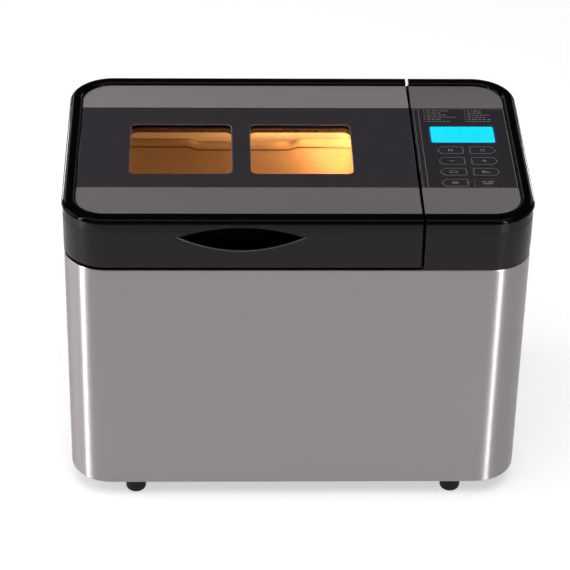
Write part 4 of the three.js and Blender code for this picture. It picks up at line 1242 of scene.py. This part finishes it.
# ---------------------------------------------------------------- chamber and pan
class BreadMachineChamber(bpy.types.Operator):
    """Adds the pressed chamber, the heating element and the lamp's glass"""

    bl_idname = "bread_machine.chamber"
    bl_label = "Chamber"

    def execute(self, context):
        x, y, z = spans("oven_chamber")
        bend = 7.0
        a = np.radians(np.linspace(0, 90, 7))
        wall = np.linspace(z[0] + bend + 2, z[1] - 2, 60)
        swage = -0.7 * sum(np.exp(-(((wall - level) / 2.2) ** 2)) for level in (100, 150, 200))
        out = np.concatenate([[-26], -bend + bend * np.sin(a), swage, [0, 0.8]])
        height = np.concatenate([[z[0]], z[0] + bend - bend * np.cos(a), wall, [z[1] - 0.8, z[1]]])
        piece("chamber_walls", swept(rounded(x, y, 14), out, height), chamber_sheet(), "machine",
              ("oven_chamber",), thickness=SHEET, seal=False)
        holes = [circle((sx, 0), 9.5, 32) for sx in SHAFT_X]
        floor = rounded(*grown(x, y, -24), 6)[0]
        piece("chamber_floor", slab(floor, (z[0] + 0.1, z[0] + 0.8), holes, edge=0.1), chamber_sheet(),
              "machine")
        self.element()
        self.lamp()
        coat(bare_steel(), "temperature_sensor")
        return {"FINISHED"}

    def element(self):
        x, y, z = spans("heating_element")
        radius = (z[1] - z[0]) / 2
        level = sum(z) / 2
        east = 75.9
        corners = [(x[1] - 1, -12), (east, -12), (east, y[0] + radius), (x[0] + radius, y[0] + radius),
                   (x[0] + radius, y[1] - radius), (east, y[1] - radius), (east, 12), (x[1] - 1, 12)]
        path = filleted(np.column_stack([corners, np.full(8, level)]), 12)
        rod = tube(path, radius, sides=20)
        bore = circle((0, 0), radius + 0.05, 24)
        collar = slab(circle((0, 0), radius + 0.5, 24), (-3, 3), (bore,), edge=0.1)
        clips = []
        for cx in (-120, 30):
            for cy in (y[0] + radius, y[1] - radius):
                side = np.sign(cy)
                band = moved(collar, (cx, cy, level), SIDEWAYS)
                strap = slab(rounded((cx - 3, cx + 3), sorted((cy + side * 3.4, cy + side * 8.2)), 0.6)[0],
                             (level - 0.6, level + 0.6), edge=0.3)
                clips += [band, strap]
        piece("element_rod", rod, element_steel(), "machine", ("heating_element",))
        piece("element_clips", together(*clips), zinc_sheet(), "machine")

    def lamp(self):
        x, y, z = spans("lamp_glass")
        profile = [(0, 0), (4, 0.2), (7, 0.8), (9.4, 1.8), (10.6, 3), (13.4, 3), (13.4, 4.2), (9.2, 4.2),
                   (9, 2.6), (6.5, 1.6), (0, 1.2)]
        lens = moved(turned(profile, steps=40), (x[0], sum(y) / 2, sum(z) / 2),
                     [[0, 0, 1], [0, 1, 0], [-1, 0, 0]])
        piece("lamp_lens", lens, clear_glass("lamp_pane", (1.0, 0.95, 0.88), 0.08), "machine",
              ("lamp_glass",))
        coat(lit("lamp_filament", (1.0, 0.62, 0.25), 30.0), "lamp_bulb")


def element_steel():
    return finish("element_steel", (0.12, 0.1, 0.09), 0.45, 0.9, (200, 200, 200), tone=0.35, haze=0.12,
                  relief=0.15)


class BreadMachinePan(bpy.types.Operator):
    """Adds the lift-out pan with its bail, couplings and kneading paddles"""

    bl_idname = "bread_machine.pan"
    bl_label = "Bread pan"

    def execute(self, context):
        self.pan()
        self.handle()
        for side, x in zip(("left", "right"), SHAFT_X):
            self.paddle(side, x)
        coat(zinc_sheet(), "pan_base", "pan_mount")
        coat(bare_steel(), "paddle_shaft_left", "paddle_shaft_right")
        return {"FINISHED"}

    def pan(self):
        x, y, z = spans("bread_pan")
        lip = 3.5
        bottom, bend = 72.0, 9.0
        top = z[1]
        a = np.radians(np.linspace(0, 90, 8))
        wall = np.linspace(bottom + bend + 3, top - 4, 30)
        roll = arc((lip / 2 + 0.2, top - lip / 2), lip / 2, 170, -60, 14)
        out = np.concatenate([[-24], -bend + bend * np.sin(a), 0 * wall, roll[:, 0]])
        height = np.concatenate([[bottom], bottom + bend - bend * np.cos(a), wall, roll[:, 1]])
        path, normals = rounded(*grown(x, y, -lip), 22, 20)
        middle = sum(x) / 2
        stops = middle + np.linspace(-60, 66, 43)
        path = np.vstack([path, np.column_stack([stops, np.full(len(stops), y[1] - lip)])])
        normals = np.vstack([normals, np.tile([0, 1], (len(stops), 1))])
        dip = np.clip((48 - np.abs(path[:, 0] - middle - 3)) / 9, 0, 1) * (normals[:, 1] > 0.999)
        share = np.clip((height - top + 22) / 18, 0, 1)
        drop = 2.8 * (dip**2 * (3 - 2 * dip))[:, None]
        height = height - drop * share
        run = path, normals
        piece("pan_walls", swept(run, out, height), speckled_coating(), "pan", ("bread_pan",),
              thickness=1.4, seal=False)
        # A near-black band just inside the wall, under the rolled rim: a painted shadow line for the shadow
        # that the roll casts.
        painted_rim_shadow = swept(run, np.array([-1.3, -1.9, -1.9, -1.3]), top - np.array([4.9, 4.9, 4.0, 4.0]) - drop,
                       ring=True)
        piece("pan_rim_painted_shadow", painted_rim_shadow, finish("rim_roll_painted_shadow", (0.02, 0.013, 0.01), 0.6), "pan")
        holes = [circle((sx, 0), 4.4, 32) for sx in SHAFT_X]
        floor = slab(rounded(*grown(x, y, -lip - 22), 4)[0], (bottom + 0.1, bottom + 1.4), holes, edge=0.1)
        bosses = [turned([(4.4, 66.6), (9, 66.6), (9, 79), (8, 80), (4.4, 80), (4.4, 66.6)], (sx, 0))
                  for sx in SHAFT_X]
        outline = np.vstack([arc((0, 218), 6.5, 180, 360, 16), [[8.5, 225.5], [-8.5, 225.5]]])
        ear = slab(outline, (0, 1.6), edge=0.4)
        ears = [moved(ear, (middle + side * 113.3, 0, 0), [[0, 0, side], [1, 0, 0], [0, 1, 0]])
                for side in (-1, 1)]
        piece("pan_fittings", together(floor, *bosses, *ears), speckled_coating(), "pan")

    def handle(self):
        x, y, z = spans("pan_handle")
        radius = (z[1] - z[0]) / 2
        middle, level = sum(x) / 2, sum(z) / 2
        half, reach = (x[1] - x[0]) / 2 - radius, y[1] - radius
        corners = [(-half + 7.5, 0), (-half, 0), (-half, reach), (half, reach), (half, 0), (half - 7.5, 0)]
        corners = np.column_stack([np.array(corners) + (middle, 0), np.full(6, level)])
        ends = filleted(corners[:3], 4, 6)[:-1], filleted(corners[3:], 4, 6)[1:]
        bend = filleted(corners[1:5], 16, 10)[1:-1]
        path = np.vstack([ends[0], bend, ends[1]])
        piece("pan_bail", tube(path, radius, sides=18), bare_steel(), "bail", ("pan_handle",))
        along = np.linspace(middle - 34, middle + 34, 30)
        grip = np.column_stack([along, np.full(30, reach), np.full(30, level)])
        piece("bail_sleeve", tube(grip, radius + 0.5, sides=18), rubber(), "bail")

    def paddle(self, side, x):
        blade = [(4, 80.8), (39, 80.8), (42, 83.5), (40, 89), (34.5, 96.5), (24, 101.8), (12, 103.8),
                 (4, 104)]
        fin = slab(filleted(blade, 2.0, 4), (-2, 2), edge=1.3, rings=5)
        fin = moved(fin, (x, 0, 0), [[1, 0, 0], [0, 0, -1], [0, 1, 0]])
        hub = turned([(4.4, 80.8), (8.5, 80.8), (8.3, 84), (7.6, 103), (6.4, 106.4), (3.5, 107.4),
                      (0, 107.4), (0, 104.6), (4.4, 104.6), (4.4, 80.8)], (x, 0))
        piece(f"kneading_paddle_{side}", together(hub, fin), speckled_coating(), f"kneader_{side}",
              (f"paddle_{side}",))


class BreadMachineWorks(bpy.types.Operator):
    """Finishes the drive, the motor and the electronics"""

    bl_idname = "bread_machine.works"
    bl_label = "Works"

    def execute(self, context):
        coat(zinc_sheet(), "drive_plate", "motor")
        coat(bare_steel(), "drive_shaft_left", "drive_shaft_right", "motor_pulley")
        bronze = finish("sintered_bronze", (0.42, 0.25, 0.09), 0.4, 0.9, (500, 500, 500), tone=0.2)
        coat(bronze, "bearing_left", "bearing_right")
        coat(finish("pulley_plastic", (0.68, 0.64, 0.54), 0.5, grain=(200, 200, 200)), "driven_pulley",
             "link_pulley")
        coat(rubber(), "drive_belt", "link_belt")
        coat(gloss_black(), "capacitor")
        coat(board_green(), "power_board")
        return {"FINISHED"}


# ---------------------------------------------------------------- add-on
OPERATORS = (
    BreadMachineStage, BreadMachineBody, BreadMachineBase, BreadMachineDeck, BreadMachineLid,
    BreadMachineLidUnderside, BreadMachinePanel, BreadMachineKeys, BreadMachineChamber, BreadMachinePan,
    BreadMachineWorks,
)


class BreadMachineSidebar(bpy.types.Panel):
    """Lists the machine's settings and the operators that build it"""

    bl_idname = "VIEW3D_PT_bread_machine"
    bl_label = "Bread Machine"
    bl_space_type = "VIEW_3D"
    bl_region_type = "UI"
    bl_category = "Bread Machine"

    def draw(self, context):
        for group in (context.scene.bread_machine_finish, context.scene.bread_machine_sizes):
            for name in group.__annotations__:
                self.layout.prop(group, name)
        for operator in OPERATORS:
            self.layout.operator(operator.bl_idname)


CLASSES = (BreadMachineFinish, BreadMachineSizes, *OPERATORS, BreadMachineSidebar)


def register():
    for item in CLASSES:
        bpy.utils.register_class(item)
    bpy.types.Scene.bread_machine_finish = PointerProperty(type=BreadMachineFinish)
    bpy.types.Scene.bread_machine_sizes = PointerProperty(type=BreadMachineSizes)


def unregister():
    del bpy.types.Scene.bread_machine_sizes
    del bpy.types.Scene.bread_machine_finish
    for item in reversed(CLASSES):
        bpy.utils.unregister_class(item)


def main():
    register()
    for operator in OPERATORS:
        group, name = operator.bl_idname.split(".")
        getattr(getattr(bpy.ops, group), name)()


if __name__ == "__main__":
    main()
